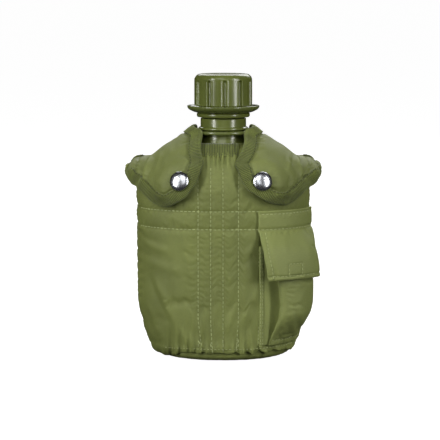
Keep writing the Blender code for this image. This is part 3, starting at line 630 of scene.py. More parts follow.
# ---------------------------------------------------------------- simulation
def simulated(surface, pinned, pressure, slack, cap, stiffness=12.0, frames=20):
    """How far the cloth settles along its normals, by Blender's cloth simulation.

    The grid is held at its pinned points, cut a little larger than the form by slack, and
    blown outwards by pressure. The result is in millimetres, kept under cap.
    """
    rows, columns = surface.points.shape[:2]
    scale = 0.01
    mesh = bpy.data.meshes.new("settling")
    mesh.from_pydata((surface.points.reshape(-1, 3) * scale).tolist(), [], quads(rows, columns).tolist())
    obj = bpy.data.objects.new("settling", mesh)
    bpy.context.scene.collection.objects.link(obj)
    group = obj.vertex_groups.new(name="held")
    for i, weight in enumerate(pinned.ravel()):
        group.add([i], float(weight), "REPLACE")
    modifier = obj.modifiers.new("settle", "CLOTH")
    settings = modifier.settings
    settings.vertex_group_mass = "held"
    settings.quality = 6
    settings.mass = 0.2
    settings.tension_stiffness = settings.compression_stiffness = stiffness
    settings.shear_stiffness = stiffness / 2
    settings.bending_stiffness = 0.3
    settings.shrink_min = -slack
    settings.use_pressure = pressure != 0
    settings.uniform_pressure_force = pressure * surface.side
    settings.effector_weights.gravity = 0.0
    modifier.collision_settings.use_collision = False
    modifier.point_cache.frame_start, modifier.point_cache.frame_end = 1, frames
    scene = bpy.context.scene
    for step in range(1, frames + 1):
        scene.frame_set(step)
    evaluated = obj.evaluated_get(bpy.context.evaluated_depsgraph_get())
    settled = np.zeros(rows * columns * 3)
    evaluated.data.vertices.foreach_get("co", settled)
    settled = settled.reshape(rows, columns, 3) / scale
    bpy.data.objects.remove(obj, do_unlink=True)
    scene.frame_set(1)
    moved = np.nan_to_num(((settled - surface.points) * surface.normals).sum(-1))
    return np.tanh(moved / cap) * cap


def resized(values, rows, columns):
    """A grid of values spread smoothly over a finer grid."""
    old_rows, old_columns = values.shape
    across = np.linspace(0, old_columns - 1, columns)
    wide = np.array([np.interp(across, np.arange(old_columns), row) for row in values])
    along = np.linspace(0, old_rows - 1, rows)
    return np.array([np.interp(along, np.arange(old_rows), column) for column in wide.T]).T


COARSE = (slice(None, None, 2), slice(None, None, 2))


def settling(base, relief, held, pressure, slack, cap):
    """What a simulation on every second point adds to a relief; held says where it is pinned."""
    held[0], held[-1], held[:, 0], held[:, -1] = 1, 1, 1, 1
    coarse = Surface(base.moved(relief).points[COARSE], base.side)
    return resized(simulated(coarse, np.round(held), pressure, slack, cap), *relief.shape)


def crease(x, z, start, end, width, height):
    """A fold along a line: a raised gaussian ridge that fades out at its ends."""
    (sx, sz), dx, dz = start, end[0] - start[0], end[1] - start[1]
    length = hypot(dx, dz)
    t = ((x - sx) * dx + (z - sz) * dz) / length ** 2
    across = ((x - sx) * -dz + (z - sz) * dx) / length
    ends = smooth(t, -0.15, 0.25) * (1 - smooth(t, 0.7, 1.15))
    return height * ends * bell(across, width)


def waves(x, pitch, seed):
    """Uneven folds side by side, about pitch apart, from -1 to 1."""
    phase = seed * 1.7
    bent = (x + pitch * 0.35 * np.sin(x / (pitch * 1.9) + phase)
            + pitch * 0.2 * np.sin(x / (pitch * 0.83) + 2 * phase))
    return np.sin(2 * pi * bent / pitch + phase) * (0.75 + 0.25 * np.sin(x / (pitch * 1.3) + 3 * phase))


# ---------------------------------------------------------------- the bottle and its cap
NECK_RADIUS, LIP_Z, MOUTH_RADIUS, THREAD_CORE = 16.5, 207.8, 12.5, 14.6
THREAD_START_Z, PITCH, THREAD_TURNS, TURN_STEPS = 190.0, 4.0, 2.5, 48


def make_bottle():
    count = 96
    turn = np.linspace(0, 2 * pi, count, endpoint=False)
    neck = rounded([(21.6, 158.0), (21.0, 159.4), (18.7, 162.6), (17.1, 166.4), (NECK_RADIUS, 169.0),
                    (NECK_RADIUS, 172.3), (18.75, 172.8), (18.75, 174.1), (17.2, 174.8), (17.2, 181.0),
                    (THREAD_CORE, 181.5), (THREAD_CORE, 207.2), (14.0, LIP_Z), (MOUTH_RADIUS, LIP_Z),
                    (MOUTH_RADIUS, 159.0)], 0.5, 5, closed=False)
    rings = [hug(path, turn, 0.0) for path in np.linspace(0, 2.92, 60)]
    rings += [np.stack([radius * np.cos(turn), radius * np.sin(turn) + CENTRE_Y, np.full(count, z)], -1)
              for radius, z in neck[1:]]
    rings += [hug(path, turn, -WALL) for path in np.linspace(3, 0, 30)]
    bottle = build("bottle", np.array(rings), tube_faces(len(rings), count), [BOTTLE])
    on_body(bottle, "cover", "bottle_plastic", "bottle_shell", "bottle_base", "bottle_neck")
    steps = int(THREAD_TURNS * TURN_STEPS)
    section = ((THREAD_CORE - 0.3, -1.1), (15.35, -0.75), (15.65, -0.4), (15.7, 0.0), (15.65, 0.4),
               (15.35, 0.75), (THREAD_CORE - 0.3, 1.1))
    points = []
    for i in range(steps + 1):
        turn = 2 * pi * i / TURN_STEPS
        fade = min(1.0, min(i, steps - i) / 8 + 0.02)
        for radius, dz in section:
            r = section[0][0] + (radius - section[0][0]) * fade
            z = THREAD_START_Z + PITCH * i / TURN_STEPS + dz
            points.append((r * cos(turn), r * sin(turn) + CENTRE_Y, z))
    faces = [face[::-1] for face in tube_faces(steps + 1, len(section))]
    on_body(build("neck_thread", points, faces, [BOTTLE]), "cover", "bottle_plastic")


FLUTES, FIRST_FLUTE, CAP_RADIUS = 11, -86.8, 21.6


def flute_shape(radius, height, turn):
    """Grooves with rounded tops and raised lips round the cap's skirt."""
    spacing = 2 * pi / FLUTES
    nearest = (turn - radians(FIRST_FLUTE) + spacing / 2) % spacing - spacing / 2
    skirt = smooth(radius, 19.6, 21.2) * (radius > 19.0)
    across = nearest * CAP_RADIUS
    reach = np.hypot(across, np.maximum(0.0, height - 208.6))
    groove = -1.25 * (1 - smooth(reach, 0.35, 1.75))
    lip = 0.30 * bell(reach - 2.15, 0.42)
    outside = (height > 190.2) * (height < 212.6)
    return radius + (groove + lip) * skirt * outside


def make_cap():
    outer = [(0.01, 214.05), (6.0, 214.15), (12.0, 214.3), (15.5, 214.4), (17.4, 214.4), (18.3, 214.3),
             (19.2, 214.0), (19.95, 213.45), (20.6, 212.8), (21.1, 212.1), (21.4, 211.5)]
    outer += [(CAP_RADIUS, z) for z in np.linspace(210.9, 191.0, 46)]
    outer += [(21.5, 190.7), (21.1, 190.5), (20.2, 190.45), (18.9, 190.4), (18.6, 190.1), (18.6, 186.0),
              (18.9, 185.4), (19.6, 185.05), (20.0, 184.6), (20.05, 183.6), (19.9, 182.6), (19.4, 182.1),
              (18.6, 182.0)]
    inner = [(16.4, 182.0), (16.1, 182.3), (16.1, 189.0), (16.1, 200.0), (16.1, 210.2), (15.8, 210.5),
             (0.01, 210.5)]
    cap = lathe("screw_cap_shell", (outer + inner)[::-1], 440, BOTTLE,
                radius_at=lambda r, z, t: np.where(r > 18.8, flute_shape(r, z, t), r))
    on_body(cap, "cap", "bottle_plastic", "screw_cap")
    gasket = lathe("sealing_disc", [(0.01, 208.2), (9.0, 208.2), (9.5, 208.5), (10.0, 208.2), (15.2, 208.2),
                                    (15.5, 208.5), (15.5, 209.8), (15.2, 210.1), (0.01, 210.1)], 64, RUBBER)
    on_body(gasket, "cap", "gasket_rubber", "cap_gasket")


def make_keeper():
    saucer = [(18.95, 186.0), (19.3, 185.75), (21.3, 185.7), (22.6, 186.1), (24.2, 186.85), (25.8, 187.7),
              (26.6, 188.5), (27.1, 189.4), (27.2, 190.2), (27.0, 190.6), (26.6, 190.75), (26.1, 190.6),
              (25.5, 190.0), (24.5, 189.1), (23.0, 188.2), (21.2, 187.6), (19.3, 187.5), (18.95, 187.2)]
    ring = lathe("keeper_saucer", catmull_closed(saucer, 3), 128, KEEPER, closed=True)
    on_body(ring, "cap_keeper", "keeper_plastic", "keeper_cap_ring")
    collar = [(16.9, 169.8), (17.3, 169.4), (21.0, 169.4), (21.7, 169.7), (22.0, 170.3), (22.0, 171.2),
              (21.6, 171.75), (20.8, 171.95), (17.3, 171.95), (16.9, 171.6)]
    ring = lathe("keeper_neck_collar", catmull_closed(collar, 3), 128, KEEPER, closed=True)
    on_body(ring, "cover", "keeper_plastic", "keeper_neck_ring")
    path = [(27.4, 189.1), (31.5, 188.9), (35.2, 185.2), (36.3, 179.5), (34.0, 173.8), (29.0, 171.2),
            (22.5, 170.8)]
    rows, columns = 60, 9
    line = catmull(path, np.linspace(0, 1, rows))
    across = np.linspace(-4.5, 4.5, columns)
    points = np.zeros((rows, columns, 3))
    points[..., 0] = across * (1 + 0.12 * bell(np.linspace(-1, 1, rows) ** 2 - 1, 0.25))[:, None]
    points[..., 1:] = line[:, None] + (CENTRE_Y, 0)
    rib = 0.25 * bell(np.abs(across) - 3.2, 0.7)
    surface = Surface(points).moved(np.broadcast_to(rib, (rows, columns)) - 0.25)
    strap = dressed(cloth("keeper_strap_band", surface, 1.6, KEEPER), "keeper_plastic", "keeper_strap")
    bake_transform(strap)


# ---------------------------------------------------------------- the cover's panels
PANEL_FACE = 5.0                 # the cloth's outer face, off the bottle
CLOTH_THICK = 1.3
LINES_Z = (114.6, 101.2)         # quilting lines across the front
LINES_X = (-18.7, -9.4, -0.3, 11.1)
BACK_LINES_Z = (134.0, 96.0)
SIDE_SEAMS = (0.012, 0.988)      # places of the two side seams across a panel
PANEL_TOP, LINING_TOP, LINING_FACE, LINING_THICK = 2.97, 2.9, 2.45, 1.8
FRONT_FOLDS = (                  # start, end, width, height
    ((-52, 64), (-34, 26), 3.4, 1.1), ((-45, 32), (-22, 15), 2.6, 0.9), ((-58, 44), (-46, 18), 3.0, 0.8),
    ((-4, 74), (7, 62), 2.4, 0.45), ((-62, 92), (-40, 84), 3.0, 0.6), ((-60, 78), (-30, 70), 4.0, 0.5),
    ((-30, 96), (-22, 60), 4.0, 0.4), ((18, 96), (24, 40), 3.4, 0.5), ((-40, 112), (-26, 104), 2.4, 0.4),
    ((14, 30), (26, 60), 3.0, 0.5), ((-16, 40), (-12, 22), 2.2, 0.5), ((2, 26), (8, 44), 2.2, 0.5),
)


def undulation(x, z, seed):
    """Broad, low unevenness."""
    return (0.5 * np.sin(x / 17.0 + seed) * np.sin(z / 21.0 + 1.3 * seed)
            + 0.3 * np.sin((x + 0.6 * z) / 9.7 + 2 * seed) + 0.2 * np.sin((z - 0.8 * x) / 7.1 + 3 * seed))


def pucker(distance, along, depth, seed):
    """The dip along a line of stitching, with small puckers beside it."""
    small = waves(along, 4.3, seed)
    return -depth * bell(distance, 1.5) * (1 + 0.3 * small) + 0.16 * small * bell(np.abs(distance) - 2.0,
                         1.6)


def panel_paths(start, end, count):
    """Path coordinates spaced evenly along the cloth."""
    fine = np.linspace(start, end, 600)
    points = hug(fine, -pi / 2, PANEL_FACE)
    reach = distances(points)
    return np.interp(np.linspace(0, reach[-1], count), reach, fine)


def front_edge(x):
    """Path coordinate of the front panel's gathered lower edge."""
    rise = smooth(x, -46, -26) * (1 - smooth(x, 45, 58))
    return 0.47 + rise * (0.31 + 0.055 * waves(x, 9.3, 1.2))


def shell_points(back, start, end, rows, columns, offset, gap=0.2):
    first = 0.0 if back else pi
    angle = np.linspace(first, first + pi, columns)[None, :]
    level_x = hug(np.full(columns, 0.7), angle[0], offset)[:, 0]
    spaced = panel_paths(0.45, end, rows)
    share = (spaced - spaced[0]) / (spaced[-1] - spaced[0])
    low = np.broadcast_to(np.asarray(start(level_x) if callable(start) else start, float), (columns,))
    spaced = low[None, :] + (end - low[None, :]) * share[:, None]
    points = hug(spaced, angle, offset)
    points[..., 1] += gap if back else -gap
    return points


def seam_dip(x, roll):
    """The dip at a panel's two side seams, and the roll of cloth beside it. Also where each point is."""
    edge = np.abs(x) / np.maximum(np.abs(x).max(axis=1, keepdims=True), 1)
    return roll * bell(edge - 0.955, 0.02) - 0.7 * bell(1 - edge, 0.02), edge


def front_relief(points):
    x, z = points[..., 0], points[..., 2]
    d = 0.35 * undulation(x, z, 0.7)
    for line in LINES_Z:
        d += pucker(z - line, x, 0.5, line)
    for line in LINES_X:
        fade = smooth(z, 8, 16) * (1 - smooth(z, 142, 149))
        d += pucker(x - line, z, 0.5, line) * fade
    for start, end, width, height in FRONT_FOLDS:
        d += 1.8 * crease(x, z, start, end, width, height)
        d -= 1.3 * crease(x + width, z - width * 0.8, start, end, width, height)
    rising = 1 - smooth(z, 7, 34)
    inside = smooth(x, -50, -36) * (1 - smooth(x, 44, 56))
    d += rising * inside * (1.05 * waves(x, 7.6, 1.1) + 0.4 * waves(x, 3.4, 2.3))
    d += 0.9 * bell(z - 152, 5.5) * waves(x, 4.6, 4.0) * smooth(x, -30, -18) * (1 - smooth(x, 12, 22))
    dip, edge = seam_dip(x, 0.5)
    d += dip + 0.25 * waves(z, 8.0, 5.0) * smooth(edge, 0.86, 0.98)
    d += 2.0 * bell(z - 17, 11) * smooth(edge, 0.6, 0.96)
    return d


def front_panel():
    rows, columns = 230, 250
    points = shell_points(False, front_edge, PANEL_TOP, rows, columns, PANEL_FACE)
    base = Surface(points)
    x, z = points[..., 0], points[..., 2]
    relief = front_relief(points)
    across = np.linspace(-180, 0, columns)[None, :]
    under = (smooth(x, 25.5, 28) * (1 - smooth(z, 114, 117)) * (1 - smooth(across, -10.5, -8))
             * smooth(z, 9, 12.5))
    relief = relief * (1 - under) + under * np.minimum(relief, -0.15)
    held = np.zeros(x[COARSE].shape)
    for line in LINES_Z:
        held = np.maximum(held, bell(z[COARSE] - line, 0.9))
    for line in LINES_X:
        held = np.maximum(held, bell(x[COARSE] - line, 0.9) * (z[COARSE] < 148))
    relief = relief + settling(base, relief, held, 1.3, 0.014, 0.9) * (1 - under)
    surface = base.moved(relief)
    front = cloth("front_cloth", surface, CLOTH_THICK, NYLON_CLOTH)
    on_body(front, "cover", "cover_nylon", "cover_front_panel")

    thread = Stitches()
    for line in LINES_Z:
        thread.sew_at(surface, np.linspace(-62.0, 27.0, 240), np.full(240, line), width=0.62)
    for line in LINES_X:
        thread.sew_at(surface, np.full(260, line), np.linspace(13.0, 147.0, 260), width=0.6)
    xs = np.linspace(-44, 52, 160)
    thread.sew_at(surface, xs, 11.6 - 0.9 * smooth(-xs, 24, 44), stitch=2.0, width=0.5)
    side_seams(thread, surface)
    on_body(thread.object("front_stitching", THREAD), "cover", "cover_nylon")


def side_seams(thread, surface):
    for u in SIDE_SEAMS:
        thread.sew(surface, u, (0.12, 0.8), 200, 0.1, stitch=2.6, width=0.5)


def back_panel():
    rows, columns = 150, 180
    points = shell_points(True, 0.5, PANEL_TOP, rows, columns, PANEL_FACE)
    base = Surface(points)
    x, z = points[..., 0], points[..., 2]
    relief = 0.4 * undulation(x, z, 2.9)
    relief += (1 - smooth(z, 7, 30)) * (0.6 * waves(x, 8.4, 3.1) + 0.25 * waves(x, 3.9, 0.3))
    held = np.zeros(z[COARSE].shape)
    for line in BACK_LINES_Z:
        relief += pucker(z - line, x, 0.6, line)
        held = np.maximum(held, bell(z[COARSE] - line, 0.9))
    relief += seam_dip(x, 0.45)[0]
    for side in (-1, 1):
        relief -= 0.5 * bell(np.abs(x - side * 28.0) - 17.5, 2.0) * bell(z - 114.5, 16.0)
        relief += crease(x, z, (side * 40, 70), (side * 52, 30), 3.2, 0.7)
        relief += crease(x, z, (side * 14, 62), (side * 20, 24), 3.0, 0.5)
    surface = base.moved(relief + settling(base, relief, held, 0.8, 0.014, 0.7))
    back = cloth("back_cloth", surface, CLOTH_THICK, NYLON_CLOTH)
    on_body(back, "cover", "cover_nylon", "cover_back_panel")

    thread = Stitches()
    for line in BACK_LINES_Z:
        row = np.argmin(np.abs(z[:, columns // 2] - line))
        thread.sew(surface, (0.03, 0.97), row / (rows - 1), 220, width=0.6)
    side_seams(thread, surface)
    thread.sew(surface, (0.03, 0.97), 0.03, 220, stitch=2.0, width=0.5)
    on_body(thread.object("back_stitching", THREAD), "cover", "cover_nylon")


def square_places(size):
    """Places on a grid of squares about the middle: how far out, from 0 to 1, and the angle."""
    a = np.linspace(-1, 1, size)
    gx, gy = np.meshgrid(a, -a)
    return np.maximum(np.abs(gx), np.abs(gy)), np.arctan2(gy, gx)


def drawn_in(points, share):
    """Points drawn in towards the middle axis to a share of their distance from it."""
    points[..., 0] *= share
    points[..., 1] = CENTRE_Y + (points[..., 1] - CENTRE_Y) * share
    return points


def bottom_panel():
    reach, angle = square_places(90)
    path = 0.78 * np.clip((reach - 0.74) / 0.26, 0, 1)
    points = hug(path, angle, PANEL_FACE - 0.1 - 1.3 * smooth(path, 0.1, 0.55))
    surface = Surface(drawn_in(points, np.clip(reach / 0.74, 0, 1)))
    x, y = points[..., 0], points[..., 1]
    lift = -0.2 * (1 + waves(x + y, 21.0, 0.4)) * bell(reach, 0.6)
    lift = lift + 0.22 * waves(x * 1.0 + y * 0.6, 6.8, 1.6) * smooth(reach, 0.7, 0.95)
    surface = surface.moved(np.minimum(lift, 0.3 * smooth(reach, 0.74, 0.9)))
    full = 2.6 * bell(reach - 0.86, 0.075)
    rounding = 1.4 * smooth(reach, 0.5, 0.9)
    surface = Surface(surface.points + rounding[..., None] * (0, 0, 1) + full[..., None] * outwards(points))
    bottom = cloth("bottom_cloth", surface, 1.2, NYLON_CLOTH)
    on_body(bottom, "cover", "cover_nylon", "cover_bottom_panel")


def outwards(points):
    """Level unit vectors away from the middle axis."""
    return unit((points - (0, CENTRE_Y, 0)) * (1, 1, 0))


def nearest_on(surface, xs, zs):
    """Points and normals of the front cloth at x and z, read from its grid."""
    p = surface.points
    rows, columns = p.shape[:2]
    xs, zs = np.asarray(xs, float), np.asarray(zs, float)
    i = np.full(len(xs), rows / 2.0)
    j = np.full(len(xs), columns / 2.0)
    for _ in range(12):
        points, _ = surface.at(j / (columns - 1), i / (rows - 1))
        ahead, _ = surface.at(np.clip(j + 1, 0, columns - 1) / (columns - 1), i / (rows - 1))
        above, _ = surface.at(j / (columns - 1), np.clip(i + 1, 0, rows - 1) / (rows - 1))
        dx = np.where(np.abs(ahead[:, 0] - points[:, 0]) > 0.05, ahead[:, 0] - points[:, 0], 0.3)
        dz = np.where(np.abs(above[:, 2] - points[:, 2]) > 0.05, above[:, 2] - points[:, 2], 0.3)
        j = np.clip(j + np.clip((xs - points[:, 0]) / dx, -40, 40) * 0.8, 1, columns - 2)
        i = np.clip(i + np.clip((zs - points[:, 2]) / dz, -40, 40) * 0.8, 1, rows - 2)
    return surface.at(j / (columns - 1), i / (rows - 1))


def lining(side, surface, held):
    pile = cloth("lining_" + side + "_pile", surface, LINING_THICK, PILE)
    on_body(pile, "cover", "pile_lining", "lining_" + side)


def linings():
    for side in ("front", "back"):
        points = shell_points(side == "back", 0.2, LINING_TOP, 70, 90, LINING_FACE, 0.35)
        x, z = points[..., 0], points[..., 2]
        tufts = 0.12 * waves(x + 0.3 * z, 5.0, 1.0) * waves(z, 6.0, 2.0)
        lining(side, Surface(points).moved(tufts), "stretched")
    reach, angle = square_places(40)
    lining("bottom", Surface(drawn_in(hug(0.02, angle, LINING_FACE), reach)), "laid")


def ribbed(count, points_per_rib, depth):
    """Ribs across a tape: a height for each step along it."""
    return depth * (0.5 + 0.5 * np.cos(2 * pi * np.arange(count) / points_per_rib))


def neck_tape():
    columns, rows = 23 * 6, 26
    x = np.linspace(-17.0, 10.9, columns)[None, :]
    v = np.linspace(0, 1, rows)[:, None]
    scallop = 0.9 * np.abs(np.sin(np.linspace(0, 9 * pi, columns)))[None, :] * (1 - smooth(v, 0, 0.4))
    path, angle = locate(x, 155.4 - scallop + 7.4 * v, 5.9)
    points = hug(path, angle, 5.9 + 0.4 * smooth(v, 0.3, 1.0))
    base = Surface(points).moved(0.55 * bell(v - 0.9, 0.25) - 0.3 * bell(v - 0.18, 0.08) + 0 * x)
    rib = ribbed(columns, 6, 0.32)[None, :] * smooth(v, 0.02, 0.12) * (1 - smooth(v, 0.9, 1.0))
    surface = base.moved(rib)
    tape = cloth("neck_binding", surface, 0.8, BINDING, base=base, weave=rib_weave(rows, columns, 6))
    on_body(tape, "cover", "binding_tape", "front_neck_tape")
    thread = Stitches()
    u = np.linspace(0.02, 0.98, 120)
    thread.sew(surface, u, 0.16 + 0.03 * np.sin(u * 9 * pi * 2), 120, 0.2, stitch=1.9, gap=0.5, width=0.55)
    on_points, on_normals = surface.at(np.full(60, 0.93), np.linspace(0.1, 0.95, 60))
    thread.zigzag(on_points + on_normals * 0.25, on_normals, 1.1, 3.0, width=0.5)
    on_body(thread.object("neck_stitching", DARK_THREAD), "cover", "binding_tape")


# ---------------------------------------------------------------- the shoulder flaps
FLAP_OFFSET, FLAP_THICK, SNAP_SWELL, SNAP_SWELL_REACH = 8.8, 3.0, 3.2, 17.0
SNAP_RADIUS, SNAP_DOME, SNAP_LIFT, SOCKET_GAP = 7.25, 2.6, 1.8, 0.8
SNAPS = {"left": (-31.7, 137.0), "right": (28.1, 137.0)}
LOWER = {
    "right": [(14.1, 136.1), (19.2, 130.1), (29.4, 123.9), (39.6, 120.1), (48.7, 120.2), (58.9, 125.7)],
    "left": [(20.0, 135.1), (25.6, 128.0), (33.8, 121.8), (40.8, 118.4), (48.0, 119.1), (57.0, 123.4)],
}
INNER = {"right": [(10.6, 153.3), (11.6, 143.9)], "left": [(15.9, 154.4), (17.0, 143.9)]}
BINDING_WIDTH, BINDING_STEPS, CORNER_BLEND, EDGE_SAMPLES = 9.0, 12, 7.0, 560


def on_front(x, z, offset):
    path, angle = locate(x, z, offset)
    return float(path), float(angle), offset


class Flap:
    """A flap's outer face: s runs from the neck outwards, t from the hinge to the lower edge."""

    def __init__(self, side):
        self.side, self.sign = side, 1 if side == "right" else -1
        base, lower = FLAP_OFFSET, LOWER[side]
        corner = on_front(67.1, 131.5, base + 2.2)
        neck = [(2.83, radians(58), base + 5.5), (2.92, radians(25), base + 5.0),
                (2.92, radians(-15), base + 4.0), (2.88, radians(-52), base + 2.0)]
        neck += [on_front(x, z, base) for x, z in INNER[side]]
        neck.append(on_front(*lower[0], base))
        tip = (2.24, 0.0, base + 7.5)
        bottom = [on_front(x, z, base) for x, z in lower[:-1]]
        bottom += [on_front(*lower[-1], base + 1.2), corner, (2.08, radians(-14), base + 3.8),
                   (2.15, radians(-7), base + 5.8), tip]
        outer = [(2.24, radians(34), base + 2.0), (2.26, radians(24), base + 4.5),
                 (2.265, radians(14), base + 6.5), (2.26, radians(7), base + 7.3), tip]
        self.neck, self.bottom, self.outer = np.array(neck), np.array(bottom), np.array(outer)
        x, z = SNAPS[side]
        self.snap = hug(*locate(abs(x), z, base), base)
        self.hinge_ends = hug(*self.neck[0]), hug(*self.outer[0])

    def place(self, s, t):
        """Path, angle and offset: a Coons patch between the four edges."""
        s, t = np.broadcast_arrays(np.asarray(s, float), np.asarray(t, float))
        left, right, low = catmull(self.neck, t), catmull(self.outer, t), catmull(self.bottom, s)
        s, t = s[..., None], t[..., None]
        start, end = self.neck[0], self.outer[0]
        hinge = start + (end - start) * s
        ruled = (1 - s) * left + s * right + (1 - t) * hinge + t * low
        upper = (1 - s) * start + s * end
        below = (1 - s) * self.bottom[0] + s * self.bottom[-1]
        return ruled - (1 - t) * upper - t * below

    def points(self, s, t, root=0.0):
        """Points of the outer face; root runs from 0 at the hinge to 1 where it is sewn to the back."""
        s, t, root = np.broadcast_arrays(*(np.asarray(v, float) for v in (s, t, root)))
        place = self.place(s, t)
        offset = np.maximum(place[..., 2], FLAP_OFFSET)
        near_tip = (offset - FLAP_OFFSET) * smooth(s, 0.62, 0.94)
        full = bell(s - 0.86, 0.15) * smooth(t, 0.08, 0.3) * (1 - smooth(t, 0.62, 0.98))
        near_tip = near_tip + (7.8 - near_tip) * full
        near_neck = (offset - FLAP_OFFSET) * smooth(1 - 2 * s, 0.45, 1.0) ** 1.4
        offset = FLAP_OFFSET + np.where(s > 0.5, near_tip, near_neck)
        flat = hug(place[..., 0], place[..., 1], offset)
        away = np.linalg.norm(flat - self.snap, axis=-1)
        offset = offset + SNAP_SWELL * np.exp(-(away / SNAP_SWELL_REACH) ** 4)
        down = smooth(root)
        offset = offset * (1 - down) + (PANEL_FACE + 1.6) * down
        made = hug(place[..., 0] - 0.11 * root, place[..., 1] + radians(13) * root, offset)
        start, end = self.hinge_ends
        chord = start + (end - start) * s[..., None] - hug(*np.moveaxis(self.place(s, 0.0), -1, 0))
        made = made + ((1 - t) ** 6 * (1 - down))[..., None] * chord
        stand = (1 - smooth(s, 0, 0.13)) * smooth(t, 0.03, 0.2) * (1 - smooth(t, 0.4, 0.66))
        made = made + stand[..., None] * (np.array((0, 0, 4.0)) - 1.6 * outwards(made))
        made[..., 0] *= self.sign
        return made


HINGES = {
    "left": ((-37.317, 27.486, 155.931), (-0.789142, 0.2355, -0.567269)),
    "right": ((37.317, 27.486, 155.931), (-0.789142, -0.2355, 0.567269)),
}


def hinged(obj, side):
    """Bakes a flap piece's placement into its mesh; the hinge is looked up, but nothing bends or swings."""
    place, axis = (np.array(v) for v in HINGES[side])
    ahead = unit(np.cross(axis, (0, 0, 1)))
    if ahead[1] > 0:
        ahead = -ahead
    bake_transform(obj)
    return obj


def edge_distance(points):
    """How far each point of a flap is from its bound edge, which is three sides of the grid."""
    edge = np.concatenate([points[::-1, 0], points[0], points[:, -1]])
    reach = distances(edge)
    edge = along_line(edge, reach, np.linspace(0, reach[-1], 520))
    return np.stack([np.linalg.norm(row[:, None] - edge[None], axis=-1).min(axis=1) for row in points])


FLAP_FOLDS = {                   # folds, then cuts: start, end, width, height or depth
    "right": ((((54, 152), (59, 135), 1.9, 2.2), ((49, 155), (47, 141), 2.0, 0.7), ((46, 150), (55, 143), 1.3, 0.5),
               ((60, 147), (66, 136), 2.6, 1.0), ((44, 146), (52, 138), 1.2, 0.4), ((24, 158), (20, 145), 3.0, 0.7),
               ((36, 128), (52, 127), 2.4, 0.5)),
              (((57.5, 151), (62.5, 136), 1.7, 2.0), ((50, 151), (52.5, 142), 1.2, 0.6))),
    "left": ((((54, 151), (61, 133), 1.9, 2.2), ((46, 156), (50, 142), 2.2, 0.8), ((62, 145), (67, 135), 2.6, 1.0),
              ((26, 156), (24, 144), 3.0, 0.6), ((40, 126), (52, 126), 2.4, 0.5), ((36, 158), (44, 146), 2.4, 0.6)),
             (((57.5, 150), (64.5, 134), 1.7, 2.0), ((49.5, 151), (54, 141), 1.2, 0.5))),
}


def flap_relief(flap, s, t, points, near_edge):
    x, z = points[..., 0] * flap.sign, points[..., 2]
    d = 0.28 * undulation(x + 3, z, 1.9 * flap.sign)
    away = np.linalg.norm(points * (flap.sign, 1, 1) - flap.snap, axis=-1)
    d = d - 0.9 * bell(away, 8.5) + 0.35 * bell(away - 15, 5)
    folds, cuts = FLAP_FOLDS[flap.side]
    front = smooth(-points[..., 1], -6, 4)
    for start, end, width, height in folds:
        d = d + front * crease(x, z, start, end, width, height)
    for start, end, width, depth in cuts:
        d = d - front * crease(x, z, start, end, width, depth)
    d = d - 1.6 * bell(np.hypot((x - 54) * 0.8, (z - 155) * 0.7), 7.5)
    d = d + 0.9 * smooth(near_edge, 8.0, 17.0) - 0.9 * bell(near_edge - 9.5, 1.2)
    d = d + 0.22 * waves(t * 100 + s * 23, 5.2, 3.0 + flap.sign) * bell(near_edge - 10.5, 3.2)
    return d


def flap_places(rows, columns, root_rows):
    """Grid places from the lower edge up to the hinge and on to the seam on the back."""
    t = np.concatenate([np.linspace(1, 0, rows), np.zeros(root_rows)])
    root = np.concatenate([np.zeros(rows), np.linspace(0, 1, root_rows + 1)[1:]])
    s = np.linspace(0, 1, columns)
    return np.meshgrid(s, t)[0], np.broadcast_to(t[:, None], (len(t), columns)), \
        np.broadcast_to(root[:, None], (len(t), columns))


def slopes(flap, s, t):
    """How the flap's surface runs per unit of s and of t."""
    return (flap.points(s + 0.01, t) - flap.points(s - 0.01, t)) / 0.02, \
        (flap.points(s, t + 0.01) - flap.points(s, t - 0.01)) / 0.02


def square_to(across, along):
    """Unit vectors on the cloth that go across, square to along."""
    along = unit(along)
    return unit(across - (across * along).sum(axis=-1, keepdims=True) * along)


def evened(values, reach):
    """A running average over each value's neighbours to both sides."""
    padded = np.concatenate([values[:1]] * reach + [values] + [values[-1:]] * reach)
    total = np.cumsum(np.concatenate([np.zeros_like(values[:1]), padded]), axis=0)
    return (total[2 * reach + 1:] - total[:-2 * reach - 1]) / (2 * reach + 1)


def walk_inwards(surface, u, v, heading, step):
    """Walks in from places on a flap's edge, staying on the cloth: points and normals of each step."""
    rows, columns = surface.points.shape[:2]
    faces = quads(rows, columns)
    tree = BVHTree.FromPolygons(surface.points.reshape(-1, 3).tolist(), faces.tolist())
    all_normals = surface.normals.reshape(-1, 3)
    place, normals = surface.at(u, v)
    found = [np.stack([place, normals])]
    for _ in range(BINDING_STEPS):
        nearest = [tree.find_nearest(target) for target in (place + heading * step).tolist()]
        ahead = np.array([hit[0] for hit in nearest])
        normals = all_normals[faces[[hit[2] for hit in nearest], 0]]
        moved = ahead - place
        length = np.linalg.norm(moved, axis=-1, keepdims=True)
        heading = np.where(length > step * 0.3, moved / np.maximum(length, 1e-9), heading)
        place = evened(ahead, 4)
        found.append(np.stack([place, evened(normals, 6)]))
    return found


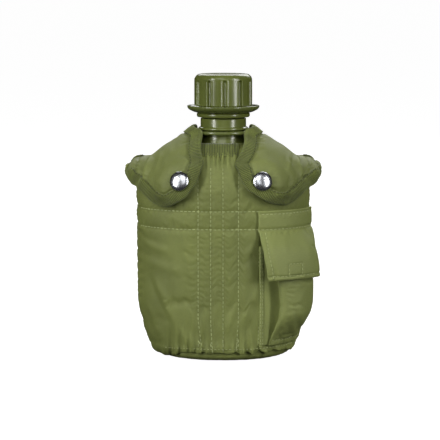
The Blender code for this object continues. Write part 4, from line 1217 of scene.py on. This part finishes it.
def make_flap(side):
    flap = Flap(side)
    rows, columns, root_rows = 170, 120, 16
    s, t, root = flap_places(rows, columns, root_rows)
    points = flap.points(s, t, root)
    base = Surface(points, float(flap.sign))
    edge = edge_distance(points)
    relief = flap_relief(flap, s, t, points, edge) * (1 - smooth(root, 0, 0.8))
    held = ((edge[COARSE] < 9.5) | (root[COARSE] > 0)).astype(float)
    away = np.linalg.norm(base.moved(relief).points[COARSE] * (flap.sign, 1, 1) - flap.snap, axis=-1)
    held[away < 7.5] = 1
    relief = relief + settling(base, relief, held, 2.2, 0.03, 1.0)
    surface = base.moved(relief)
    thickness = FLAP_THICK - 0.3 + relief * 0.9
    thickness = np.clip(thickness * smooth(edge, -3.0, 6.0) ** 0.7, 1.2, 5.0)
    pad = cloth(side + "_flap_pad", surface, thickness, FLAP_CLOTH, PILE)
    dressed(pad, "cover_nylon", side + "_flap")
    hinged(pad, side)
    bind_flap(side, flap, surface, rows)
    thread = Stitches()
    thread.sew(surface, (0.06, 0.94), (rows + root_rows * 0.72) / (points.shape[0] - 1), 150, width=0.6)
    hinged(dressed(thread.object(side + "_flap_root_stitching", THREAD), "cover_nylon"), side)


def bind_flap(side, flap, surface, rows):
    """The ribbed tape folded over a flap's three free edges, with its stitching."""
    third = EDGE_SAMPLES // 3
    up, flat = np.linspace(0, 1, third), np.ones(third)
    es, et = np.concatenate([0 * flat, up, flat]), np.concatenate([up, flat, np.linspace(1, 0, third)])
    reach = distances(flap.points(es, et))
    keep = np.concatenate([[True], np.diff(reach) > 1e-6])
    reach, es, et = reach[keep], es[keep], et[keep]
    steps = int(reach[-1] / RIB_PITCH) * 5 + 1
    along = np.linspace(0, reach[-1], steps)
    es, et = np.interp(along, reach, es), np.interp(along, reach, et)
    at_s, at_t = np.interp(reach, along, es), np.interp(reach, along, et)
    corner = [reach[np.argmin(np.hypot(at_s - a, at_t - 1))] for a in (0, 1)]
    to_bottom, to_outer = (smooth(along, at - CORNER_BLEND, at + CORNER_BLEND) for at in corner)
    by_s, by_t = slopes(flap, es, et)
    heading = square_to(by_s, by_t) * ((1 - to_bottom) - to_outer)[:, None]
    heading = heading - square_to(by_t, by_s) * (to_bottom - to_outer)[:, None]
    heading = unit(evened(unit(heading), 24))
    free = Surface(surface.points[:rows + 4], surface.side)
    inwards = walk_inwards(free, es, (1 - et) * (rows - 1) / (rows + 3), heading,
                           BINDING_WIDTH / BINDING_STEPS)

    def inside(share):
        """Points and normals at a share of the binding's width in from the flap's edge."""
        k = np.clip(share, 0, 1) * BINDING_STEPS
        low = min(int(k), BINDING_STEPS - 1)
        return inwards[low] * (low + 1 - k) + inwards[low + 1] * (k - low)

    profile = [(1.0, 0.45), (0.9, 0.9), (0.6, 1.0), (0.3, 1.0), (0.12, 0.8), (0.0, 0.35), (-0.045, -0.45),
               (-0.05, -1.3), (-0.02, -2.1), (0.1, -2.75), (0.35, -3.0), (0.6, -3.05)]
    fine = catmull(profile, np.linspace(0, 1, 26))
    ribbon, normals = np.zeros((2, len(fine), steps, 3))
    for k, (share, lift) in enumerate(fine):
        on_points, normals[k] = inside(share)
        if share < 0:
            away = unit(on_points - inside(1.5 / BINDING_WIDTH)[0])
            on_points = on_points + away * (-share * BINDING_WIDTH)
        ribbon[k] = on_points + normals[k] * lift
    plain = Surface(ribbon)
    part = (slice(4, 9), slice(steps // 4, steps // 2))
    if (plain.normals[part] * normals[part]).sum() < 0:
        plain = Surface(ribbon, -1.0)
    rib = ribbed(steps, 5, 0.42)[None, :] * smooth(np.arange(26) / 25.0, 0.0, 0.1)[:, None]
    worn = 0.12 * waves(along, 9.0, 1.0)[None, :]
    tape = plain.moved(rib - 0.17 + worn * 0.6)
    binding = cloth(side + "_flap_tape", tape, 0.6, BINDING, base=plain, weave=rib_weave(26, steps, 5))
    dressed(binding, "binding_tape", side + "_flap_binding")
    hinged(binding, side)
    thread = Stitches()
    for v, style in ((0.075, dict(stitch=2.3, gap=0.7, width=0.95, height=0.6)),
                     (0.30, dict(stitch=2.2, gap=0.8, width=0.42, height=0.3))):
        thread.sew(tape, (0.005, 0.995), v, steps, 0.12, **style)
    hinged(dressed(thread.object(side + "_flap_stitching", DARK_THREAD), "binding_tape"), side)
    if side == "right":
        tip, out = tape.at(np.array([corner[1] / reach[-1]]), np.array([0.4]))
        frayed(tip[0], out[0])


def frayed(start, out):
    """A few loose fibres where the binding has come apart at the right flap's tip."""
    fibres = Stitches()
    for lean, rise, length in ((1.0, 0.35, 3.4), (0.8, 0.9, 2.4), (1.0, -0.3, 2.0)):
        place = np.array(start, float)
        heading = np.array((lean, -0.25, rise)) + 0.3 * out
        for _ in range(4):
            heading = unit(heading) + RANDOM.normal(0, 0.22, 3)
            ahead = place + unit(heading) * length / 4
            fibres.one(place, ahead, out, 0.4, 0.3, 0.0)
            place = ahead
    hinged(dressed(fibres.object("right_flap_frayed_end", THREAD), "binding_tape"), "right")


def tilted(obj, place, direction):
    """Stands a piece made round the upright axis on a place, facing a direction."""
    turn = Vector((0, 0, 1)).rotation_difference(Vector(direction))
    mesh = obj.data
    co = np.zeros(len(mesh.vertices) * 3)
    mesh.vertices.foreach_get("co", co)
    co = co.reshape(-1, 3) @ np.array(turn.to_matrix()).T + np.asarray(place) * MM
    mesh.vertices.foreach_set("co", co.ravel())
    mesh.update()
    return obj


def make_snap(side):
    x, z = SNAPS[side]
    offset = FLAP_OFFSET + SNAP_SWELL
    path, angle = locate(x, z, offset)
    step = 0.01
    along = hug(path + step, angle, offset) - hug(path - step, angle, offset)
    around = hug(path, angle + step, offset) - hug(path, angle - step, offset)
    direction = unit(np.cross(around, along))
    base = hug(path, angle, offset + SNAP_LIFT)
    floor = -(SNAP_LIFT + FLAP_THICK + SOCKET_GAP)
    dome = [(0.01, SNAP_DOME), (1.5, 2.56), (3.0, 2.38), (4.4, 2.05), (5.5, 1.62), (6.3, 1.16),
            (6.85, 0.72), (7.15, 0.38), (SNAP_RADIUS, 0.1), (7.2, -0.12), (6.95, -0.25), (6.2, -0.2),
            (3.6, -0.1), (2.1, -0.4), (1.6, -1.0), (1.6, floor - 0.3), (0.01, floor - 0.3)]
    cap = tilted(lathe(side + "_snap_dome", dome[::-1], 72, NICKEL, (0, 0)), base, direction)
    on_body(cap, side + "_flap", "snap_nickel", side + "_snap_cap")
    socket = [(5.5, floor), (5.6, floor - 0.6), (5.4, floor - 1.2), (4.4, floor - 1.25), (3.2, floor - 1.2),
              (3.1, floor - 0.8), (3.2, floor - 0.6), (2.0, floor - 0.6), (2.0, floor)]
    ring = tilted(lathe(side + "_snap_ring", socket[::-1], 48, NICKEL, (0, 0), closed=True), base,
                  direction)
    on_body(ring, side + "_flap", "snap_nickel", side + "_snap_socket")
    stud_base = PANEL_FACE + 0.5 - (offset + SNAP_LIFT)
    stud_top = floor - 1.2 - 0.4
    stud = [(0.01, stud_top), (1.9, stud_top), (2.45, stud_top - 0.15), (2.7, stud_top - 0.45),
            (2.45, stud_base + 0.75), (3.0, stud_base + 0.6), (4.5, stud_base + 0.6),
            (4.8, stud_base + 0.3), (4.7, stud_base), (0.01, stud_base)]
    post = tilted(lathe(side + "_snap_post", stud[::-1], 48, NICKEL, (0, 0)), base, direction)
    on_body(post, "cover", "snap_nickel", side + "_snap_stud")


# ---------------------------------------------------------------- the pocket
POCKET_LEFT_X, POCKET_RIGHT_ANGLE = 28.7, -12.0
POCKET_BOTTOM_Z, POCKET_TOP_Z = 14.0, 88.0
BAND_TOP_Z, BAND_BOTTOM_Z, BAND_LEFT_X, BAND_RIGHT_ANGLE = 114.6, 101.2, 26.4, -14.0
POCKET_FLAP_TOP_Z, POCKET_FLAP_BOTTOM_Z = 100.4, 63.0
PATCH_X, PATCH_Z = (48.4, 58.3), (68.0, 76.6)
FLAP_HEM_Z = 64.8
FREE_ROWS, BAND_ROWS = 112, 38   # rows of the flap's grid below its seam, and above it
FOLD_X = ((14.0, 35.0), (25.0, 37.2), (35.0, 39.0), (45.0, 40.0), (62.0, 38.5), (88.0, 37.0))


BAG_FOLDS = (
    ((43, 16), (47, 50), 2.6, 0.9), ((52, 20), (50, 46), 2.6, 0.6), ((60, 22), (56, 44), 2.6, 0.6),
    ((42, 40), (46, 24), 2.0, 0.5), ((62, 58), (52, 40), 3.0, 0.5),
)
POCKET_FLAP_FOLDS = (
    ((36, 92), (34, 72), 2.2, 0.5), ((58, 96), (66, 78), 3.0, 0.6), ((44, 98), (46, 84), 2.6, 0.4),
    ((62, 66), (54, 74), 2.6, 0.4),
)


def height_path(z):
    return 1 + (np.asarray(z, float) - CORNER_Z) / (SHOULDER_Z - CORNER_Z)


def make_bag():
    """The pocket's bag, folded under along its left side, with its seam tape."""
    rows, columns = 130, 210
    z = np.linspace(POCKET_BOTTOM_Z, POCKET_TOP_Z, rows)
    v = (z - z[0]) / (z[-1] - z[0])
    full = smooth(v, 0.0, 0.34) * (1 - 0.3 * smooth((v - 0.6) / 0.4))
    fold = np.interp(z, *zip(*FOLD_X))
    u = np.linspace(0, 1, columns)
    right = radians(POCKET_RIGHT_ANGLE)
    lines = []
    for height, f, h in zip(z, fold, full):
        xs = (POCKET_LEFT_X - 1.2, POCKET_LEFT_X + 1.5, f - 4.0, f + 3.0, f + 5.5, f + 3.0, f + 0.4, f + 1.4, f + 6.0,
              f + 13.0)
        at = [float(locate(x, height, 10.0)[1]) for x in xs]
        out = [5.3, 5.5, 5.8 + 0.3 * h, 6.0 + 0.6 * h, 6.6 + 1.8 * h, 6.9 + 3.4 * h, 7.2 + 5.6 * h,
               7.6 + 8.2 * h, 7.4 + 9.6 * h, 7.2 + 9.9 * h]
        at += [at[-1] + (right - at[-1]) * w for w in (0.4, 0.7, 0.86, 0.95, 1.0)]
        out += [7.1 + 7.6 * h, 6.9 + 4.0 * h, 6.6 + 1.4 * h, 6.3 + 0.3 * h, 6.0]
        lines.append(np.array([at, out]).T)
    path = np.stack([catmull(line, u) for line in lines])
    points = hug(height_path(z)[:, None], path[..., 0], path[..., 1])
    base = Surface(points)
    x, zz = points[..., 0], points[..., 2]
    front = smooth(u, 0.5, 0.6)[None, :]
    d = 0.35 * undulation(x, zz, 4.4) * front
    for start, end, width, height in BAG_FOLDS:
        d = d + front * crease(x, zz, start, end, width, height)
        d = d - front * crease(x + width, zz, start, end, width, 0.6 * height)
    d = d + (1 - smooth(v, 0, 0.16))[:,
             None] * front * (0.35 * waves(x, 6.4, 2.2) + 0.15 * waves(x, 2.9, 0.2))
    d = d - 0.5 * bell(zz - 17.6, 1.1) * front + 0.35 * bell(x - fold[:, None] - 3.0, 1.4) * front
    held = np.zeros(x[COARSE].shape)
    held[:, :held.shape[1] * 11 // 20] = 1
    surface = base.moved(d + settling(base, d, held, 1.4, 0.016, 0.7))
    bag = cloth("pocket_bag", surface, 0.9, POCKET_CLOTH)
    on_body(bag, "cover", "cover_nylon", "pocket_body")

    thread = Stitches()
    for u, width in ((0.022, 0.55), (0.965, 0.5)):
        thread.sew(surface, u, (0.01, 0.99), 200, stitch=2.2, gap=0.7, width=width)
    thread.sew(surface, (0.5, 0.99), 0.05, 160, 0.2, stitch=2.0, width=0.5)
    rows, columns = 280, 12
    z = np.linspace(13.0, 88.5, rows)[:, None]
    angle = locate(np.linspace(26.6, 29.8, columns)[None, :], z, 6.0)[1]
    crown = 0.9 * np.sin(np.linspace(0.15, 0.92, columns) * pi)[None, :]
    plain = Surface(hug(height_path(z), angle, 5.6 + crown))
    seam = plain.moved(0.14 * np.cos(2 * pi * np.arange(rows)[:, None] / 5) * np.ones((1, columns)))
    tape = cloth("pocket_seam_tape", seam, 0.6, POCKET_CLOTH, base=plain)
    on_body(tape, "cover", "binding_tape")
    for u in (0.28, 0.75):
        thread.sew(seam, u, (0.01, 0.99), 200, stitch=2.1, gap=0.6, width=0.45)
    on_body(thread.object("pocket_stitching", THREAD), "cover", "cover_nylon")
    return Surface(surface.points[:, surface.points.shape[1] // 2:])


def pocket_hinged(obj):
    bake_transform(obj)
    return obj


def make_pocket_flap(bag_front):
    columns = 120
    z = np.concatenate([np.linspace(FLAP_HEM_Z, POCKET_FLAP_TOP_Z, FREE_ROWS),
                        np.linspace(POCKET_FLAP_TOP_Z, BAND_TOP_Z, BAND_ROWS + 1)[1:]])
    t = np.clip((POCKET_FLAP_TOP_Z - z) / (POCKET_FLAP_TOP_Z - POCKET_FLAP_BOTTOM_Z), 0, 1)
    offsets = catmull(np.array([(7.6,), (16.2,), (19.7,), (20.6,)]), t)[:, 0]
    left = BAND_LEFT_X + 8.0 * t ** 0.8
    right = BAND_RIGHT_ANGLE - 14.0 * smooth(t / 0.4)
    angle = np.linspace(locate(left, z, offsets)[1], np.radians(right), columns, axis=-1)
    u = np.linspace(0, 1, columns)[None, :]
    flat = smooth(t, 0.0, 0.25)[:, None]
    ease = -1.6 * flat * (1 - smooth(u, 0.0, 0.16)) - 1.2 * flat * smooth(u, 0.88, 1.0)
    sag = -1.3 * smooth(t, 0.45, 1.0)[:, None] * (smooth(u, 0.0, 0.5)) * bell(u - 0.55, 0.25)
    points = hug(height_path(z)[:, None], angle, offsets[:, None] + ease)
    base = Surface(points)
    x, zz = points[..., 0], points[..., 2]
    d = 0.3 * undulation(x, zz, 6.1) * flat + pucker(zz - 101.0, x, 0.8, 1.0) + pucker(zz - 112.9, x, 0.4,
                         2.0)
    d = d + 0.5 * sag
    px = np.minimum(np.abs(x - PATCH_X[0]), np.abs(x - PATCH_X[1]))
    pz = np.minimum(np.abs(zz - PATCH_Z[0]), np.abs(zz - PATCH_Z[1]))
    inside_x = smooth(x, PATCH_X[0] - 1.5, PATCH_X[0]) * (1 - smooth(x, PATCH_X[1], PATCH_X[1] + 1.5))
    inside_z = smooth(zz, PATCH_Z[0] - 1.5, PATCH_Z[0]) * (1 - smooth(zz, PATCH_Z[1], PATCH_Z[1] + 1.5))
    d = d - 0.35 * np.maximum(bell(px, 0.8) * inside_z, bell(pz, 0.8) * inside_x)
    left_in = (u * np.linspace(30, 42, len(z))[:, None])
    d = d - 0.45 * bell(left_in - 2.6, 0.8) * flat + 0.25 * bell(left_in - 1.0, 0.9) * flat
    low_in = zz - FLAP_HEM_Z
    d = d - 0.45 * bell(low_in - 3.0, 0.8) + 0.2 * bell(low_in - 1.2, 0.9)
    for start, end, width, height in POCKET_FLAP_FOLDS:
        d = d + crease(x, zz, start, end, width, height)
    held = (zz[COARSE] > 100).astype(float)
    surface = base.moved(d + settling(base, d, held, 0.7, 0.03, 0.6))
    flap = cloth("pocket_flap_cloth", surface, 1.2, POCKET_CLOTH)
    dressed(flap, "cover_nylon", "pocket_flap", "pocket_flap_band")
    pocket_hinged(flap)

    thread = Stitches()
    last = len(z) - 1
    for u in (0.065, 0.945):
        thread.sew(surface, u, (0.02, 0.97 * FREE_ROWS / len(z)), 160, stitch=2.3, width=0.55)
    low = 3.0 / (POCKET_FLAP_TOP_Z - FLAP_HEM_Z) * (FREE_ROWS - 1) / last
    thread.sew(surface, (0.05, 0.95), low, 160, stitch=2.3, width=0.55)
    for v in (1 - 1.9 / (BAND_TOP_Z - BAND_BOTTOM_Z) * BAND_ROWS / last, (FREE_ROWS + 1.0) / last):
        thread.sew(surface, (0.02, 0.98), v, 160, stitch=2.3, width=0.6)
    corners = [(PATCH_X[0], PATCH_Z[0]), (PATCH_X[1], PATCH_Z[0]), (PATCH_X[1], PATCH_Z[1]),
               (PATCH_X[0], PATCH_Z[1])]
    for (x0, z0), (x1, z1) in zip(corners, corners[1:] + corners[:1]):
        thread.sew_at(surface, np.linspace(x0, x1, 30), np.linspace(z0, z1, 30), stitch=1.9, gap=0.6,
                      width=0.5)
    pocket_hinged(dressed(thread.object("pocket_flap_stitching", THREAD), "cover_nylon"))

    zs, xs = np.meshgrid(np.linspace(*PATCH_Z, 18), np.linspace(*PATCH_X, 22), indexing="ij")

    def patch(name, under, lift):
        points, normals = nearest_on(under, xs.ravel(), zs.ravel())
        square = Surface((points + normals * lift).reshape(*xs.shape, 3))
        return cloth(name, square, 0.7, LOOP), square

    hook, square = patch("hook_square", surface, -1.9)
    pocket_hinged(dressed(hook, "hook_and_loop", "pocket_hook_patch"))
    loop, square = patch("loop_square", bag_front, 0.75)
    on_body(loop, "cover", "hook_and_loop", "pocket_loop_patch")


# ---------------------------------------------------------------- the belt clips
CLIP_X, CLIP_WIDTH, CLIP_THICK = 28.0, 16.0, 1.6
CLIP_FRONT_Y, CLIP_REAR_Y = 42.2, 54.2
CLIP_BOTTOM_Z, CLIP_ARCH_Z = 74.0, 152.0
SLEEVE_Z = (76.0, 83.0)
SLEEVE_WALL, SLEEVE_GAP = 1.0, 0.35
WEBBING_Z, WEBBING_THICK, WEBBING_GAP = (102.0, 127.0), 1.4, 0.5


def back_y(x, offset):
    u = x / (HALF_WIDTH + offset)
    round_part = (BACK_DEPTH + offset) * (1 - np.abs(u) ** BACK_POWER) ** (1 / BACK_POWER)
    return BOW * u * u + round_part - BACK_HOLLOW * (1 - u * u) ** 2 + CENTRE_Y


def clip_spring(side, x0):
    """The bent steel strip, of one section with rounded edges all along."""
    arch = (CLIP_REAR_Y - CLIP_FRONT_Y) / 2
    middle, tail = CLIP_FRONT_Y + arch, CLIP_FRONT_Y + CLIP_THICK + 0.4
    path = [(CLIP_FRONT_Y, z) for z in np.linspace(CLIP_BOTTOM_Z, CLIP_ARCH_Z, 14)]
    path += [(middle - arch * cos(k * pi / 14), CLIP_ARCH_Z + arch * sin(k * pi / 14)) for k in range(1, 14)]
    path += [(CLIP_REAR_Y, z) for z in np.linspace(CLIP_ARCH_Z, 103.0, 9)]
    path += [(CLIP_REAR_Y - 0.5, 101.0), (CLIP_REAR_Y - 2.0, 99.0), (CLIP_REAR_Y - 5.0, 97.2),
             (tail + 1.2, 95.2), (tail + 0.2, 93.4), (tail, 91.6)]
    path += [(tail, z) for z in np.linspace(90.0, CLIP_BOTTOM_Z, 5)]
    path = np.array(path)
    count, reach = 240, distances(path)
    along = np.linspace(0, reach[-1], count)
    line = along_line(path, reach, along)
    direction = np.gradient(line, axis=0)
    direction /= np.linalg.norm(direction, axis=1, keepdims=True)
    normal = np.stack([-direction[:, 1], direction[:, 0]], -1)
    half, thick = CLIP_WIDTH / 2, CLIP_THICK / 2
    section = []
    for cx, cy, start in ((half - 0.5, thick - 0.5, 0), (-half + 0.5, thick - 0.5, 90),
                          (-half + 0.5, -thick + 0.5, 180), (half - 0.5, -thick + 0.5, 270)):
        for k in range(4):
            turn = radians(start + 30 * k)
            section.append((cx + 0.5 * cos(turn), cy + 0.5 * sin(turn)))
    section = np.array(section)
    taper = 1 - 0.32 * bell(along, 2.2) ** 2 - 0.32 * bell(reach[-1] - along, 2.2) ** 2
    points = np.zeros((count, len(section), 3))
    points[..., 0] = x0 + section[None, :, 0] * taper[:, None]
    points[..., 1:] = line[:, None] + normal[:, None] * section[None, :, 1:] + (CENTRE_Y, 0)
    faces = [face[::-1] for face in tube_faces(count, len(section))]
    spring = build(side + "_clip_spring", points, faces, [STEEL], sharp=40)
    on_body(spring, "cover", "clip_steel", side + "_clip_frame")


def clip_sleeve(side, x0):
    """The locking slide round both ends of the spring, with a groove across its middle."""
    reach = CLIP_WIDTH / 2 + SLEEVE_GAP
    front = CLIP_FRONT_Y - CLIP_THICK / 2 - SLEEVE_GAP
    rear = CLIP_FRONT_Y + CLIP_THICK * 1.5 + 0.4 + SLEEVE_GAP

    def box(grown, radius):
        left, right, near, far = x0 - reach - grown, x0 + reach + grown, front - grown, rear + grown
        return rounded([(left, near), (right, near), (right, far), (left, far)], radius, 5)

    inner, outer = box(0.0, 0.7), box(SLEEVE_WALL, 1.5)
    low, high = SLEEVE_Z
    middle = (low + high) / 2
    rings = []
    for share, z in ((0.0, low + 0.25), (0.25, low + 0.05), (0.75, low + 0.05), (1.0, low + 0.3),
                     (1.0, middle - 0.9), (0.62, middle), (1.0, middle + 0.9), (1.0, high - 0.3),
                     (0.75, high - 0.05), (0.25, high - 0.05), (0.0, high - 0.25)):
        ring = inner + (outer - inner) * share
        rings.append(np.stack([ring[:, 0], ring[:, 1] + CENTRE_Y, np.full(len(ring), z)], -1))
    faces = quads(len(rings) + 1, len(inner), True) % (len(rings) * len(inner))
    sleeve = build(side + "_clip_sleeve", np.array(rings), faces.tolist(), [STEEL], sharp=35)
    on_body(sleeve, side + "_clip_slide", "clip_steel", side + "_clip_slide")


def clip_loop(side, x0):
    """The webbing sewn to the back on both sides of the spring."""
    over = CLIP_FRONT_Y + CLIP_THICK / 2 + WEBBING_GAP + CENTRE_Y + WEBBING_THICK
    face = PANEL_FACE + 0.5 + WEBBING_THICK
    dx = np.linspace(-19.4, 19.4, 90)
    flat = back_y(x0 + dx, face)
    lifted = 1 - smooth(np.abs(dx), 10.0, 14.6)
    y = flat * (1 - lifted) + np.maximum(over, flat) * lifted
    z = np.linspace(*WEBBING_Z, 20 * 5)
    points = np.stack(np.broadcast_arrays(x0 + dx, y, z[:, None]), -1)
    plain = Surface(points[:, ::-1])
    edge = np.minimum(z - z[0], z[-1] - z)[:, None]
    rib = 0.16 * np.cos(2 * pi * np.arange(len(dx)) / 3.0)[None, :] * smooth(edge, 0.6, 2.0)
    rib = rib - 0.35 * bell(edge, 1.0)
    surface = plain.moved(rib - 0.1)
    loop = cloth(side + "_clip_loop", surface, WEBBING_THICK - 0.2, WEBBING, base=plain,
                 weave=rib_weave(len(z), len(dx), 3))
    on_body(loop, "cover", "binding_tape", side + "_clip_webbing")
    thread = Stitches()
    for u in (0.025, 0.085, 0.915, 0.975):
        thread.sew(surface, u, (0.04, 0.96), 60, 0.2, stitch=1.9, gap=0.5, width=0.5)
    for v in (0.05, 0.95):
        for ends in ((0.02, 0.09), (0.91, 0.98)):
            thread.sew(surface, ends, v, 20, 0.2, stitch=1.6, gap=0.4, width=0.5)
    on_body(thread.object(side + "_clip_stitching", THREAD), "cover", "binding_tape")


# ---------------------------------------------------------------- the whole canteen
make_bottle()
make_cap()
make_keeper()
linings()
front_panel()
back_panel()
bottom_panel()
neck_tape()
for name, clip_x in (("left", -CLIP_X), ("right", CLIP_X)):
    make_flap(name)
    make_snap(name)
    clip_spring(name, clip_x)
    clip_sleeve(name, clip_x)
    clip_loop(name, clip_x)
make_pocket_flap(make_bag())


# ---------------------------------------------------------------- the studio
FLOOR_Z, ROOM_ROWS, ROOM_COLUMNS = -0.05, 40, 48
ROOM = ((10.0, FLOOR_Z), (9000.0, FLOOR_Z), (20000.0, 10.0), (27000.0, 900.0), (30000.0, 5000.0),
        (30000.0, 30000.0))
LIGHTS = (                       # name, azimuth, height, distance, width, height of the light, power
    ("key", -48, 0.55, 1.4, 0.26, 1.1, 18.0), ("fill", 50, 0.55, 1.4, 0.22, 1.1, 14.5),
    ("front", 0, 0.62, 1.5, 0.8, 0.5, 1.8), ("high", -6, 1.15, 1.05, 0.8, 0.7, 5.0),
    ("back", 172, 1.2, 1.3, 1.5, 1.0, 22.0),
)
CAMERA_AIM, CAMERA_DISTANCE, CAMERA_ELEVATION = Vector((-0.0025, 0, 0.1034)), 1.394, radians(7)


def looking(data, place, at):
    """A lamp or a camera at a place, turned to look at another."""
    obj = bpy.data.objects.new(data.name, data)
    obj.location = place
    obj.rotation_euler = (at - Vector(place)).to_track_quat("-Z", "Y").to_euler()
    bpy.context.scene.collection.objects.link(obj)
    return obj


def studio():
    scene = bpy.context.scene
    floor_material, tree, shader = new_material("studio_paper")
    shader.inputs["Base Color"].default_value = (0.30, 0.30, 0.30, 1)
    shader.inputs["Roughness"].default_value = 0.9
    shader.inputs["Emission Color"].default_value = (1, 1, 1, 1)
    shader.inputs["Emission Strength"].default_value = 0.985
    room = catmull(ROOM, np.linspace(0, 1, ROOM_ROWS))
    turn = np.linspace(0, 2 * pi, ROOM_COLUMNS, endpoint=False)
    radius, height = room[:, :1], np.maximum(room[:, 1:], FLOOR_Z)
    points = np.stack(np.broadcast_arrays(radius * np.cos(turn), radius * np.sin(turn), height), -1)
    faces = [face[::-1] for face in tube_faces(ROOM_ROWS, ROOM_COLUMNS)[:-1]]
    floor = build("studio_floor", points, faces, [floor_material])
    floor.visible_diffuse = False
    floor.visible_glossy = False
    world = bpy.data.worlds.new("studio")
    world.use_nodes = True
    tree = world.node_tree
    split = node(tree, "SeparateXYZ")
    tree.links.new(node(tree, "TexCoord").outputs["Generated"], split.inputs["Vector"])
    ahead = math(tree, "MAXIMUM", math(tree, "MULTIPLY", split.outputs["Y"], -1.0), 0.0)
    ahead = math(tree, "MULTIPLY", math(tree, "POWER", ahead, 4.0), 0.36)
    below = math(tree, "MAXIMUM", math(tree, "MULTIPLY", split.outputs["Z"], -1.0), 0.0)
    below = math(tree, "MULTIPLY", below, 0.45)
    strength = math(tree, "ADD", math(tree, "ADD", ahead, below), 0.10)
    tree.links.new(strength, tree.nodes["Background"].inputs["Strength"])
    scene.world = world
    for name, azimuth, height, distance, width, tall, power in LIGHTS:
        light = bpy.data.lights.new(name, "AREA")
        light.shape = "RECTANGLE"
        light.size, light.size_y, light.energy = width, tall, power
        a = radians(azimuth)
        looking(light, (distance * sin(a), -distance * cos(a), height), Vector((0, 0, 0.12)))
    camera = bpy.data.cameras.new("camera")
    camera.lens, camera.sensor_width = 150, 36
    e = CAMERA_ELEVATION
    scene.camera = looking(camera, CAMERA_AIM + CAMERA_DISTANCE * Vector((0, -cos(e), sin(e))), CAMERA_AIM)
    scene.view_settings.view_transform = "Standard"


studio()
